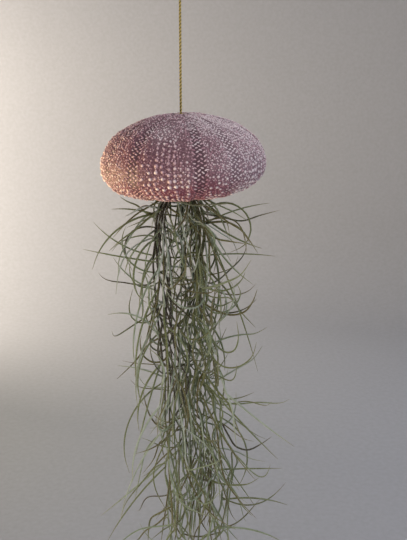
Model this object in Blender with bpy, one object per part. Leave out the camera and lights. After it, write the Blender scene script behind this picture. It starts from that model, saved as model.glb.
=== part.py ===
"""An air plant jellyfish: a sea urchin shell hung on a gold cord, with Spanish moss in its mouth.

Lengths are in metres, +Z is up and -Y is the side that faces the viewer. The origin is the inner
top of the cord's hanging loop, where a hook carries it, so everything else hangs below z = 0.
"""

import math
import random
from collections import defaultdict
from typing import NamedTuple

import bpy
from mathutils import Matrix, Vector

MM = 0.001
GAP = 0.3 * MM  # what touching pieces keep between them
SEED = 6

# Cord, its hanging loop and its knots
CORD_DIAMETER = 1.3 * MM
CORD_BOTTOM_Z = -120 * MM
CORD_STEP = 3 * CORD_DIAMETER  # between two points of the modelled tube
COIL_STEPS = 8  # points in a turn of a knot or of the tie
LOOP_KNOT_TOP_Z = -25 * MM
LOOP_KNOT_TURNS = 2.5
LOOP_HALF_WIDTH = 5 * MM
LOOP_SAMPLES = 20  # fine points between two of the loop's own

# Urchin shell: an upper and a lower half ellipse that meet at its waist
SHELL_TOP_Z = -88 * MM
SHELL_RADIUS = 41.6 * MM
SHELL_UPPER_HEIGHT = 25.4 * MM
SHELL_LOWER_HEIGHT = 16.8 * MM
SHELL_LOWER_SQUARENESS = 2.25  # 2 is a plain ellipse, and more makes a flatter base
SHELL_WALL = 1.6 * MM
SHELL_TILT = math.radians(-2)
HOLE_RADIUS = 3.5 * MM
MOUTH_RADIUS = 17 * MM
MOUTH_DIMPLE_WIDTH = 8 * MM
MOUTH_DIMPLE_DEPTH = 1.5 * MM

# The shell's fivefold pattern, with each sector counted in columns from its first pore zone
SECTORS = 5
SECTOR_COLUMNS = 14
PORE_COLUMNS = (0, 5)
NARROW_AREA_COLUMNS = range(1, 5)
FIRST_PORE_ZONE = math.radians(-77)  # the bearing of one pore zone, from +X towards +Y
SHELL_ROWS = 22
INNER_ROWS = 6
PROFILE_SAMPLES = 400
LARGE_TUBERCLE = 0.75 * MM
SMALL_TUBERCLE = 0.5 * MM
PORE_DEPTH = 0.5 * MM
SECTOR_BULGE = 0.01  # how far the narrow areas stand out, as a share of the radius

# Wooden bead under the shell's roof, and the knot under the bead
BEAD_RADIUS = 6 * MM
BEAD_COLUMNS = 12
BEAD_ROWS = 6
STOPPER_KNOT_TURNS = 2.0

# Wire tie round the moss butts
TIE_WIRE_DIAMETER = 1.0 * MM
TIE_TURNS = 3.0
TIE_TOP_Z = -113 * MM

# Moss
STEM_RADIUS = 0.62 * MM
STEM_TIP_RADIUS = 0.42 * MM
STEM_TOP_Z = -111.5 * MM
STEM_SIDES = 4
STEM_STEP = 11 * MM
TIED_BOTTOM_Z = -119 * MM  # the stems run straight down to here
FREE_TOP_Z = -141 * MM  # they part on their way out of the mouth, and hang free from here
MOUTH_STEPS = 4
UPPER_SPREAD = 1.8  # how many times further apart a group's stems hang than they are tied
LOWER_SPREAD = 5.5  # the same at the bottom of the bunch
STEM_TWIST = math.radians(210)  # of a group over its route
UPPER_WANDER = 1.9 * MM
LOWER_WANDER = 7 * MM
WANDER_LENGTHS = (30 * MM, 60 * MM)
WANDER_TRIES = 400
ROUTE_STEP = 24 * MM
LEAF_RADIUS = 0.52 * MM
LEAF_ROOT_RADIUS = 0.38 * MM
LEAF_SIDES = 3
LEAF_STEPS = 4
CURLED_LEAF_STEPS = 5
CURLED_FROM = 60  # degrees of turn
LONG_LEAF_STEPS = 6
LEAF_SHELL_MARGIN = 2.2 * MM  # what leaves keep clear of the shell
LEAF_ROOT_LENGTH = 4.5 * MM  # where a leaf still lies on its own stem
OWN_STRAND_ROOM = 0.05 * MM
OTHER_STRAND_ROOM = 0.48 * MM
CROWN_NODE_SPACING = 5 * MM  # along a stem, from leaf to leaf
UPPER_NODE_SPACING = 13 * MM
LOWER_NODE_SPACING = 18 * MM
FIRST_LEAF_Z = -123 * MM
FIRST_LEAF_SLACK = 5 * MM
CROWN_Z = -142 * MM  # above it leaves fan out under the mouth
GOLDEN_ANGLE = 137.5
LEAF_TRIES = 60
HEADING_SLACK = 50  # degrees either side of the next leaf's bearing
BARE_TIP = 3 * MM
FOUNTAIN_Z = -158 * MM  # above it leaves spring out and droop
CURLING_Z = -232 * MM  # from there to here they curl, and below they hang
INNER_SLOTS = (-30, 30)  # degrees from the group's own bearing, two butts beside the cord
OUTER_SLOTS = (-45, -15, 15, 45)  # and four outside those

# The space that the moss keeps to
MOSS_LEFT, MOSS_RIGHT = -54 * MM, 61 * MM
MOSS_FRONT, MOSS_BACK = -44 * MM, 44 * MM
MOSS_BOTTOM_Z = -354 * MM
LEAVES_TOP_Z = -121.5 * MM  # under the tie and the end of the cord


class Group(NamedTuple):
    """Stems that hang together.

    sector is the bearing of their butts in the tie, in degrees. route holds the group's middle as
    (x, y) in millimetres, at FREE_TOP_Z and every ROUTE_STEP below. ends holds the height of
    each stem's tip in millimetres.
    """

    sector: float
    route: tuple
    ends: tuple


GROUPS = {
    "left": Group(
        210,
        (
            (-10.5, -5), (-11, -6), (-8.5, -7), (-4.5, -8), (-3.5, -8),
            (-4, -7), (-4, -7), (-5, -7), (-6, -6), (-7, -5),
        ),
        (-322, -250, -338, -282, -304, -330),
    ),
    "middle": Group(
        90,
        (
            (4, 8), (4, 9), (4.5, 9), (3, 9), (2, 9),
            (5, 9), (8, 9), (9, 9), (8, 8), (8, 8),
        ),
        (-326, -296, -262, -338, -312, -284),
    ),
    "right": Group(
        330,
        (
            (9.5, -5), (9.5, -6), (10, -6), (13, -5), (15, -4),
            (17, -3), (18, -3), (19.5, -4), (22, -3), (23, -3),
        ),
        (-292, -334, -316, -248, -338, -306),
    ),
}  # fmt: skip


class Habit(NamedTuple):
    """How leaves grow: ranges for a Leaf's rise, turn and length, and its largest sweep.

    A turn that starts below 0 is drawn as it is, and any other goes up or down by chance.
    """

    rise: tuple
    turn: tuple
    length: tuple
    sweep: float


CROWNING = Habit((-62, 25), (-100, 30), (26, 45), 70)
FOUNTAIN = Habit((-65, 30), (-190, -50), (28, 46), 90)
CURLING = Habit((-80, 20), (90, 230), (30, 48), 110)
HANGING = Habit((-86, -58), (0, 60), (38, 60), 70)
STRAYING = Habit((-65, -10), (20, 110), (30, 48), 80)
CURLING_SHARE = 0.7
HANGING_SHARE = 0.7
LEAF_WAVE = 30
FRONT = 270  # the bearing of -Y
FRONT_SHARE = 0.3  # of the leaves above the hanging zone, which lie in front of the stems


class Leaf(NamedTuple):
    """A leaf as a bending line, which leaves its stem at the height z (in millimetres).

    heading is its bearing seen from above, in degrees from +X towards +Y, and sweep is how far
    that turns along the leaf. rise is its first slope above the horizontal in degrees, and turn is
    how far the slope turns along the leaf, down where negative. length is in millimetres. wave
    is how far the slope swings either way on top of that, up first where positive.
    """

    z: float
    heading: float
    rise: float
    turn: float
    length: float
    sweep: float = 0.0
    wave: float = 0.0


# The long leaves that stand out of the bunch, as seen from -Y
LONG_LEAVES = {
    "left": (
        Leaf(-139, 188, 22, -25, 24),
        Leaf(-138, 196, 0, -75, 47),
        Leaf(-160, 176, 8, 42, 36),
        Leaf(-169, 184, 2, 118, 34),
        Leaf(-163, 198, 12, 5, 40),
        Leaf(-179, 172, 16, 44, 29),
        Leaf(-166, 236, -30, -75, 58),
        Leaf(-176, 222, -48, -50, 56),
        Leaf(-150, 225, 0, -150, 46),
        Leaf(-192, 215, -45, -55, 52),
        Leaf(-201, 236, -10, -120, 48),
        Leaf(-216, 200, -40, -60, 42),
        Leaf(-240, 210, -35, -60, 50),
        Leaf(-206, 186, 78, -90, 36),
        Leaf(-226, 180, 28, -25, 26),
        Leaf(-228, 190, -28, -82, 62),
        Leaf(-214, 176, -72, -6, 60),
        Leaf(-252, 186, -50, -30, 62),
        Leaf(-274, 176, -46, 4, 66),
        Leaf(-280, 192, -42, -20, 56),
    ),
    "middle": (
        Leaf(-141, 30, -2, 52, 60),
        Leaf(-196, 20, -35, -60, 42),
        Leaf(-206, 12, -22, -105, 40),
    ),
    "right": (
        Leaf(-139, -8, 62, -232, 52),
        Leaf(-141, 34, 35, -25, 58),
        Leaf(-144, 20, 24, -22, 38),
        Leaf(-140, 6, -42, 24, 36),
        Leaf(-142, -12, -70, 38, 42),
        Leaf(-161, 10, 4, -14, 40),
        Leaf(-143, 0, -66, -9, 88),
        Leaf(-146, -6, -60, -60, 70),
        Leaf(-145, -25, -58, -125, 48),
        Leaf(-176, -10, -28, 104, 26),
        Leaf(-230, 4, -52, 5, 62),
        Leaf(-236, -10, -36, 8, 48),
        Leaf(-284, 0, 2, -2, 36),
        Leaf(-307, 8, 6, -32, 40),
        Leaf(-318, -6, 9, -46, 42),
        Leaf(-252, 14, -30, -95, 52),
    ),
}

COLOURS = {
    "shell": (0.30, 0.17, 0.20),
    "gold": (0.48, 0.31, 0.10),
    "wood": (0.16, 0.08, 0.04),
    "wire": (0.25, 0.22, 0.17),
    "moss": (0.20, 0.22, 0.13),
}


# ---------------------------------------------------------------- scene helpers


def clear_scene():
    """Remove whatever objects the file opened with."""
    for obj in list(bpy.data.objects):
        bpy.data.objects.remove(obj, do_unlink=True)


def make_material(name, roughness, metallic=0.0):
    """A Principled material in the colour that COLOURS gives for its name."""
    material = bpy.data.materials.new(name)
    material.use_nodes = True
    shader = material.node_tree.nodes["Principled BSDF"]
    shader.inputs["Base Color"].default_value = (*COLOURS[name], 1)
    shader.inputs["Roughness"].default_value = roughness
    shader.inputs["Metallic"].default_value = metallic
    return material


def make_object(name, data, material):
    """Link a mesh or a curve into the scene as a named object with one material."""
    obj = bpy.data.objects.new(name, data)
    data.materials.append(material)
    bpy.context.scene.collection.objects.link(obj)
    return obj


def make_mesh(name, points, faces):
    """A mesh from points and faces, with the faces turned outwards as given."""
    mesh = bpy.data.meshes.new(name)
    mesh.from_pydata([tuple(point) for point in points], [], faces)
    mesh.validate()
    return mesh


def spline_point(knots, position):
    """The point at a position, counted in knots, on the smooth curve through them."""
    last = len(knots) - 1
    position = min(max(position, 0.0), float(last))
    start = min(int(position), last - 1)
    t = position - start
    before, a, b, after = (
        Vector(knots[min(max(i, 0), last)]) for i in range(start - 1, start + 3)
    )
    return 0.5 * (
        2 * a
        + t * (b - before)
        + t * t * (2 * before - 5 * a + 4 * b - after)
        + t**3 * (3 * a - before - 3 * b + after)
    )


def evenly_along(points, step):
    """Points about a step apart along a finely drawn line, with both its ends."""
    lengths = [0.0]
    for a, b in zip(points, points[1:]):
        lengths.append(lengths[-1] + (b - a).length)
    count = max(1, round(lengths[-1] / step))
    found, at = [], 0
    for k in range(count + 1):
        wanted = lengths[-1] * k / count
        while at < len(points) - 2 and lengths[at + 1] < wanted:
            at += 1
        share = (wanted - lengths[at]) / max(lengths[at + 1] - lengths[at], 1e-12)
        found.append(points[at].lerp(points[at + 1], min(share, 1.0)))
    return found


def make_tube_curve(name, points, diameter, material, resolution=2):
    """A round tube along points, as a bevelled curve with filled ends."""
    curve = bpy.data.curves.new(name, "CURVE")
    curve.dimensions = "3D"
    curve.bevel_depth = diameter / 2
    curve.bevel_resolution = resolution
    curve.use_fill_caps = True
    spline = curve.splines.new("POLY")
    spline.points.add(len(points) - 1)
    for spot, point in zip(spline.points, points):
        spot.co = (*point, 1)
    return make_object(name, curve, material)


def make_coil(name, radius, turns, top_z, thickness, material):
    """A thread or wire wound round the vertical axis, from top_z down, with GAP between turns."""
    pitch = thickness + GAP
    steps = round(turns * COIL_STEPS)
    points = []
    for k in range(steps + 1):
        angle = math.tau * turns * k / steps
        z = top_z - thickness / 2 - pitch * turns * k / steps
        points.append((radius * math.cos(angle), radius * math.sin(angle), z))
    return make_tube_curve(name, points, thickness, material, resolution=1)


# ---------------------------------------------------------------- urchin shell


def shell_profile(inset, count):
    """(radius, depth below the top) from hole to mouth, evenly spaced along the wall.

    inset is how far inside the outer surface the profile runs.
    """
    radius = SHELL_RADIUS - inset
    upper = SHELL_UPPER_HEIGHT - inset
    lower = SHELL_LOWER_HEIGHT - inset
    power = 2 / SHELL_LOWER_SQUARENESS
    first = math.asin(HOLE_RADIUS / radius)
    last = math.pi - math.asin((MOUTH_RADIUS / radius) ** (1 / power))
    fine = []
    for k in range(PROFILE_SAMPLES + 1):
        angle = first + (last - first) * k / PROFILE_SAMPLES
        if angle < math.pi / 2:
            r, z = radius * math.sin(angle), upper * math.cos(angle)
        else:
            r = radius * math.sin(angle) ** power
            z = -lower * (-math.cos(angle)) ** power
            near_mouth = max(0.0, 1 - (r - MOUTH_RADIUS) / MOUTH_DIMPLE_WIDTH)
            z += MOUTH_DIMPLE_DEPTH * near_mouth**2
        fine.append(Vector((r, z - SHELL_UPPER_HEIGHT)))
    length = sum((b - a).length for a, b in zip(fine, fine[1:]))
    return evenly_along(fine, length / count)


def relief(column, row):
    """How far a point of the outer surface stands out: tubercles in quincunx, and sunk pore zones."""
    place = column % SECTOR_COLUMNS
    if place in PORE_COLUMNS:
        return -PORE_DEPTH
    if (column + row) % 2 or row in (0, SHELL_ROWS):
        return 0.0
    return SMALL_TUBERCLE if place in NARROW_AREA_COLUMNS else LARGE_TUBERCLE


def shell_ring(radius, z, columns, lifts=None, slope=(1.0, 0.0)):
    """One ring of the shell's points, each lifted along the profile's normal."""
    points = []
    for k in range(columns):
        sector_place = SECTOR_COLUMNS * SECTORS * k / columns
        bearing = FIRST_PORE_ZONE + math.tau * k / columns
        middle = (PORE_COLUMNS[0] + PORE_COLUMNS[1]) / 2
        bulge = math.cos(math.tau * (sector_place - middle) / SECTOR_COLUMNS)
        lift = lifts[k] if lifts else 0.0
        r = radius * (1 + SECTOR_BULGE * bulge * radius / SHELL_RADIUS) + lift * slope[0]
        points.append((r * math.cos(bearing), r * math.sin(bearing), z + lift * slope[1]))
    return points


def make_shell(material):
    """The hollow shell, with its hole, its mouth and its raised pattern."""
    columns = SECTORS * SECTOR_COLUMNS
    inner_columns = columns // 2
    outer, inner = shell_profile(0.0, SHELL_ROWS), shell_profile(SHELL_WALL, INNER_ROWS)
    points, faces = [], []
    for row, (r, z) in enumerate(outer):
        along = outer[min(row + 1, SHELL_ROWS)] - outer[max(row - 1, 0)]
        normal = Vector((-along.y, along.x)).normalized()
        lifts = [relief(column, row) for column in range(columns)]
        points += shell_ring(r, z, columns, lifts, normal)
    inner_start = len(points)
    for r, z in inner:
        points += shell_ring(r, z, inner_columns)

    for row in range(SHELL_ROWS):
        for column in range(columns):
            a = row * columns + column
            b = row * columns + (column + 1) % columns
            c, d = a + columns, b + columns
            if (column + row) % 2:  # a and d lie low between tubercles, so they share an edge
                faces += [(a, c, d), (a, d, b)]
            else:
                faces += [(a, c, b), (b, c, d)]
    for row in range(INNER_ROWS):
        for column in range(inner_columns):
            a = inner_start + row * inner_columns + column
            b = inner_start + row * inner_columns + (column + 1) % inner_columns
            c, d = a + inner_columns, b + inner_columns
            faces += [(a, b, d), (a, d, c)]
    hole = (0, inner_start, False)
    mouth = (SHELL_ROWS * columns, inner_start + INNER_ROWS * inner_columns, True)
    for outer_start, rim_start, at_mouth in (hole, mouth):
        for k in range(inner_columns):
            a, b = outer_start + 2 * k, outer_start + 2 * k + 1
            c = outer_start + (2 * k + 2) % columns
            e, f = rim_start + k, rim_start + (k + 1) % inner_columns
            rim = [(a, b, e), (b, f, e), (b, c, f)]
            faces += [face[::-1] for face in rim] if at_mouth else rim

    shell = make_object("urchin_shell", make_mesh("urchin_shell", points, faces), material)
    shell.location = (0, 0, SHELL_TOP_Z)
    shell.rotation_euler = (0, SHELL_TILT, 0)
    return shell


def in_shell(point, margin):
    """Whether a point lies in the shell or within a margin of it, and not in its mouth."""
    untilt = Matrix.Rotation(-SHELL_TILT, 3, "Y")
    x, y, z = untilt @ (point - Vector((0, 0, SHELL_TOP_Z)))
    above_waist = z + SHELL_UPPER_HEIGHT
    r = math.hypot(x, y)
    if above_waist < 0 and r < MOUTH_RADIUS - margin:
        return False
    height = SHELL_UPPER_HEIGHT if above_waist > 0 else SHELL_LOWER_HEIGHT
    across = r / (SHELL_RADIUS + margin)
    return across**2 + (above_waist / (height + margin)) ** 2 < 1


# ---------------------------------------------------------------- cord, bead and tie


def cord_route():
    """The cord's middle line: up the axis through the loop knot, round the loop and back to the knot."""
    top = CORD_DIAMETER / 2
    knot_z = LOOP_KNOT_TOP_Z
    side = CORD_DIAMETER + GAP
    height = top - knot_z
    straight = [Vector((0, 0, CORD_BOTTOM_Z)), Vector((0, 0, knot_z))]
    loop = [
        (0, 0, knot_z),
        (0.5 * LOOP_HALF_WIDTH, 0, knot_z + 0.17 * height),
        (LOOP_HALF_WIDTH, 0, knot_z + 0.52 * height),
        (0.78 * LOOP_HALF_WIDTH, 0, knot_z + 0.87 * height),
        (0, 0, top),
        (-0.78 * LOOP_HALF_WIDTH, 0, knot_z + 0.87 * height),
        (-LOOP_HALF_WIDTH, 0, knot_z + 0.52 * height),
        (-side - 0.3 * LOOP_HALF_WIDTH, 0, knot_z + 0.17 * height),
        (-side, 0, knot_z + GAP),
    ]
    count = LOOP_SAMPLES * (len(loop) - 1)
    fine = [spline_point(loop, k / LOOP_SAMPLES) for k in range(count + 1)]
    return evenly_along(straight[:1] + fine, CORD_STEP)


def make_bead(material):
    """A drilled wooden bead, seated just under the rim of the shell's hole."""
    bore = CORD_DIAMETER / 2 + GAP
    seat_z = SHELL_TOP_Z - SHELL_WALL
    middle_z = seat_z - math.sqrt((BEAD_RADIUS + GAP) ** 2 - HOLE_RADIUS**2)
    edge = math.asin(bore / BEAD_RADIUS)
    points, faces = [], []
    for row in range(BEAD_ROWS + 1):
        angle = edge + (math.pi - 2 * edge) * row / BEAD_ROWS
        r, z = BEAD_RADIUS * math.sin(angle), middle_z + BEAD_RADIUS * math.cos(angle)
        for k in range(BEAD_COLUMNS):
            bearing = math.tau * k / BEAD_COLUMNS
            points.append((r * math.cos(bearing), r * math.sin(bearing), z))
    rings = BEAD_ROWS + 1
    for row in range(rings):  # the last row is the bore, from the bottom edge to the top edge
        for k in range(BEAD_COLUMNS):
            side = (k + 1) % BEAD_COLUMNS
            below = (row + 1) % rings * BEAD_COLUMNS
            here = row * BEAD_COLUMNS
            faces.append((here + k, below + k, below + side, here + side))
    mesh = make_mesh("stopper_bead", points, faces)
    mesh.shade_smooth()
    make_object("stopper_bead", mesh, material)
    return middle_z - BEAD_RADIUS * math.cos(edge)


def slot_positions(sector):
    """Where a group's butts stand in the tie: two beside the cord and four outside those."""
    inner = CORD_DIAMETER / 2 + GAP + STEM_RADIUS
    outer = inner + 2 * STEM_RADIUS + GAP
    places = [(inner, a) for a in INNER_SLOTS] + [(outer, a) for a in OUTER_SLOTS]
    return [
        Vector((r * math.cos(math.radians(sector + a)), r * math.sin(math.radians(sector + a))))
        for r, a in places
    ]


def bundle_radius():
    """The radius of the moss butts bound in the tie."""
    return CORD_DIAMETER / 2 + 2 * GAP + 4 * STEM_RADIUS


# ---------------------------------------------------------------- moss


class Clearance:
    """Remembers where stems and leaves run, so that the next one keeps clear of them."""

    CELL = 2.5 * MM
    SAMPLE = 1.0 * MM

    def __init__(self):
        self.cells = defaultdict(list)

    def cell(self, point):
        return tuple(math.floor(value / self.CELL) for value in point)

    def samples(self, points):
        """Points about SAMPLE apart along a line, each with its distance from the line's start."""
        travelled = 0.0
        for a, b in zip(points, points[1:]):
            length = (b - a).length
            count = max(1, round(length / self.SAMPLE))
            for k in range(count):
                yield a.lerp(b, k / count), travelled + length * k / count
            travelled += length
        yield points[-1], travelled

    def add(self, points, radius, owner):
        for point, _ in self.samples(points):
            self.cells[self.cell(point)].append((point, radius, owner))

    def is_free(self, points, radius, owner):
        """Whether a line keeps clear of other strands, and past its root of its own strand too."""
        for point, travelled in self.samples(points):
            x, y, z = self.cell(point)
            for dx in (-1, 0, 1):
                for dy in (-1, 0, 1):
                    for dz in (-1, 0, 1):
                        for other, wide, its_owner in self.cells.get((x + dx, y + dy, z + dz), ()):
                            own = its_owner == owner
                            if own and travelled < LEAF_ROOT_LENGTH:
                                continue
                            room = radius + wide + (OWN_STRAND_ROOM if own else OTHER_STRAND_ROOM)
                            if (point - other).length_squared < room * room:
                                return False
        return True


def tube_mesh(name, points, radii, sides):
    """A closed tube of few sides along points. A last radius of 0 ends it in a point."""
    tangents = []
    for k in range(len(points)):
        tangent = points[min(k + 1, len(points) - 1)] - points[max(k - 1, 0)]
        tangents.append(tangent.normalized())
    across = tangents[0].orthogonal().normalized()
    verts, faces = [], []
    pointed = radii[-1] == 0
    rings = len(points) - pointed
    for k in range(rings):
        across = (across - across.dot(tangents[k]) * tangents[k]).normalized()
        aside = tangents[k].cross(across)
        for side in range(sides):
            angle = math.tau * side / sides
            verts.append(points[k] + radii[k] * (math.cos(angle) * across + math.sin(angle) * aside))
    for k in range(rings - 1):
        for side in range(sides):
            a, b = k * sides + side, k * sides + (side + 1) % sides
            faces.append((a, b, b + sides, a + sides))
    faces.append(tuple(reversed(range(sides))))
    last = (rings - 1) * sides
    if pointed:
        verts.append(points[-1])
        faces += [(last + s, last + (s + 1) % sides, rings * sides) for s in range(sides)]
    else:
        faces.append(tuple(range(last, last + sides)))
    return make_mesh(name, verts, faces)


class Strand:
    """One stem of moss with its leaves, which becomes one node."""

    def __init__(self, name, group, number, draw):
        slots = slot_positions(group.sector)
        middle = sum(slots, Vector((0, 0))) / len(slots)
        self.name = name
        self.group = group
        self.slot = slots[number]
        self.middle = middle
        self.offset = self.slot - middle
        self.end_z = group.ends[number] * MM
        self.leaves = []
        self.draw_waves(draw)

    def draw_waves(self, draw):
        """Draw how the stem wanders: the length and the phase of two waves each way."""
        self.waves = [
            (draw.uniform(*WANDER_LENGTHS), draw.uniform(0, math.tau)) for _ in range(4)
        ]

    def place(self, z):
        """The stem's middle at a height."""
        route = self.group.route
        parting = (TIED_BOTTOM_Z - z) / (TIED_BOTTOM_Z - FREE_TOP_Z)
        parting = min(1.0, max(0.0, parting))
        below = max(0.0, FREE_TOP_Z - z) / ROUTE_STEP
        share = below / (len(route) - 1)
        centre = self.middle.lerp(spline_point(route, below) * MM, parting * parting * (3 - 2 * parting))
        spread = 1 + (UPPER_SPREAD - 1) * parting + (LOWER_SPREAD - UPPER_SPREAD) * share**1.3
        turned = spread * (Matrix.Rotation(STEM_TWIST * share, 2) @ self.offset)
        sway = [math.sin(math.tau * z / length + phase) for length, phase in self.waves]
        wander = UPPER_WANDER + (LOWER_WANDER - UPPER_WANDER) * share
        wander *= min(1.0, below) / 2
        spot = centre + turned + wander * Vector((sway[0] + sway[1], sway[2] + sway[3]))
        return Vector((*spot, z))

    def stem_points(self):
        """The stem's middle line from its tied butt to its tip."""
        heights = [STEM_TOP_Z]
        heights += [
            TIED_BOTTOM_Z + (FREE_TOP_Z - TIED_BOTTOM_Z) * k / MOUTH_STEPS
            for k in range(MOUTH_STEPS + 1)
        ]
        count = round((FREE_TOP_Z - self.end_z) / STEM_STEP)
        heights += [
            FREE_TOP_Z + (self.end_z - FREE_TOP_Z) * k / count for k in range(1, count + 1)
        ]
        return [self.place(z) for z in heights]

    def on_stem(self, z):
        """The middle of the modelled stem at a height, between two of its points."""
        points = self.stem_points()
        for above, below in zip(points, points[1:]):
            if below.z <= z:
                return above.lerp(below, (above.z - z) / (above.z - below.z))
        return points[-1]

    def reach(self, z, heading):
        """How far out this stem stands in a heading, to find the group's outermost stem."""
        if z < self.end_z:
            return -1.0
        angle = math.radians(heading)
        return self.on_stem(z).xy.dot(Vector((math.cos(angle), math.sin(angle))))

    def leaf_points(self, leaf, steps):
        """The leaf's middle line, from the stem's middle out to its tip."""
        points = [self.on_stem(leaf.z * MM)]
        step = leaf.length * MM / steps
        for k in range(steps):
            along = (k + 0.5) / steps
            swing = leaf.wave * math.sin(math.tau * along)
            pitch = math.radians(leaf.rise + leaf.turn * along + swing)
            bearing = math.radians(leaf.heading + leaf.sweep * along)
            level = Vector((math.cos(bearing), math.sin(bearing), 0))
            points.append(points[-1] + step * (math.cos(pitch) * level + Vector((0, 0, math.sin(pitch)))))
        return points

    def try_leaf(self, leaf, steps, clearance, bounds):
        """Add the leaf if it stays in bounds, clear of the shell and of what is there already."""
        points = self.leaf_points(leaf, steps)
        for point, _ in clearance.samples(points):
            if in_shell(point, LEAF_SHELL_MARGIN) or not bounds.holds(point):
                return False
        if not clearance.is_free(points, LEAF_RADIUS, self.name):
            return False
        clearance.add(points, LEAF_RADIUS, self.name)
        self.leaves.append(points)
        return True

    def make(self, material):
        """Join the stem and its leaves into one solid."""
        stem = self.stem_points()
        shrink = [
            STEM_RADIUS + (STEM_TIP_RADIUS - STEM_RADIUS) * k / (len(stem) - 1)
            for k in range(len(stem))
        ]
        shrink[-1] = 0
        obj = make_object(self.name, tube_mesh(self.name, stem, shrink, STEM_SIDES), material)
        leaves = bpy.data.collections.new(self.name + "_leaves")
        bpy.context.scene.collection.children.link(leaves)
        for points in self.leaves:
            steps = len(points) - 1
            radii = [LEAF_ROOT_RADIUS] + [
                LEAF_RADIUS * math.sqrt(1 - k / steps) for k in range(1, steps + 1)
            ]
            radii[1] = LEAF_RADIUS
            leaf = bpy.data.objects.new("leaf", tube_mesh("leaf", points, radii, LEAF_SIDES))
            leaves.objects.link(leaf)
        union_with(obj, leaves)
        return obj


class Bounds(NamedTuple):
    """The space that the moss keeps to, in metres."""

    left: float
    right: float
    front: float
    back: float
    bottom: float
    top: float

    def holds(self, point):
        return (
            self.left < point.x < self.right
            and self.front < point.y < self.back
            and self.bottom < point.z < self.top
        )


def union_with(obj, collection):
    """Join a collection's objects to a mesh object, apply it and remove the collection."""
    join = obj.modifiers.new("Join leaves", "BOOLEAN")
    join.operation = "UNION"
    join.operand_type = "COLLECTION"
    join.collection = collection
    join.solver = "MANIFOLD"
    graph = bpy.context.evaluated_depsgraph_get()
    joined = bpy.data.meshes.new_from_object(obj.evaluated_get(graph), depsgraph=graph)
    obj.modifiers.remove(join)
    obj.data = joined
    for member in list(collection.objects):
        bpy.data.objects.remove(member, do_unlink=True)
    bpy.data.collections.remove(collection)


def drawn_leaf(draw, z, heading):
    """A leaf of the bunch's own mass, in the habit of its height."""
    if z > CROWN_Z:
        rise, turn, length, sweep = CROWNING
    elif z > FOUNTAIN_Z:
        rise, turn, length, sweep = FOUNTAIN
    elif z > CURLING_Z and draw.random() < CURLING_SHARE:
        rise, turn, length, sweep = CURLING
    elif draw.random() < HANGING_SHARE:
        rise, turn, length, sweep = HANGING
    else:
        rise, turn, length, sweep = STRAYING
    side = draw.choice((-1, 1)) if turn[0] >= 0 else 1
    return Leaf(
        z / MM,
        heading,
        draw.uniform(*rise),
        side * draw.uniform(*turn),
        draw.uniform(*length),
        draw.uniform(-sweep, sweep),
        draw.uniform(-LEAF_WAVE, LEAF_WAVE),
    )


def grow_long_leaves(strands, clearance, bounds):
    """Place the long leaves first, each on the outermost stem of its group."""
    for group, leaves in LONG_LEAVES.items():
        members = [strand for strand in strands if strand.group is GROUPS[group]]
        for leaf in leaves:
            members.sort(key=lambda strand: -strand.reach(leaf.z * MM, leaf.heading))
            tries = [
                (strand, leaf._replace(heading=leaf.heading + sign * aside))
                for aside in range(0, 50, 6)
                for sign in (1, -1)
                for strand in members[:3]
            ]
            for strand, turned in tries:
                if strand.try_leaf(turned, LONG_LEAF_STEPS, clearance, bounds):
                    break
            else:
                print(f"no room for the {group} group's leaf at {leaf.z}")


def grow_bunch(strands, clearance, bounds, draw):
    """Fill the stems with drawn leaves, a node at a time."""
    for strand in strands:
        heading = draw.uniform(0, 360)
        z = FIRST_LEAF_Z - draw.random() * FIRST_LEAF_SLACK
        while z > strand.end_z + BARE_TIP:
            in_front = z > CURLING_Z and draw.random() < FRONT_SHARE
            bearing = FRONT if in_front else heading
            for _ in range(LEAF_TRIES):
                leaf = drawn_leaf(draw, z, bearing + draw.uniform(-HEADING_SLACK, HEADING_SLACK))
                steps = LEAF_STEPS if abs(leaf.turn) < CURLED_FROM else CURLED_LEAF_STEPS
                if strand.try_leaf(leaf, steps, clearance, bounds):
                    break
            heading += GOLDEN_ANGLE
            if z > CROWN_Z:
                spacing = CROWN_NODE_SPACING
            elif z > CURLING_Z:
                spacing = UPPER_NODE_SPACING
            else:
                spacing = LOWER_NODE_SPACING
            z -= spacing * draw.uniform(0.8, 1.2)


def make_moss(material):
    """All strands, grown clear of each other, one node for each."""
    draw = random.Random(SEED)
    clearance = Clearance()
    bounds = Bounds(
        MOSS_LEFT, MOSS_RIGHT, MOSS_FRONT, MOSS_BACK, MOSS_BOTTOM_Z, LEAVES_TOP_Z
    )
    strands = [
        Strand(f"moss_{name}_{number + 1}", group, number, draw)
        for name, group in GROUPS.items()
        for number in range(len(group.ends))
    ]
    for strand in strands:
        for _ in range(WANDER_TRIES):
            hanging = [point for point in strand.stem_points() if point.z <= FREE_TOP_Z]
            if clearance.is_free(hanging, STEM_RADIUS, strand.name):
                break
            strand.draw_waves(draw)
        else:
            print(f"{strand.name} comes close to another stem")
        clearance.add(strand.stem_points(), STEM_RADIUS, strand.name)
    grow_long_leaves(strands, clearance, bounds)
    grow_bunch(strands, clearance, bounds, draw)
    for strand in strands:
        strand.make(material)


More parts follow.
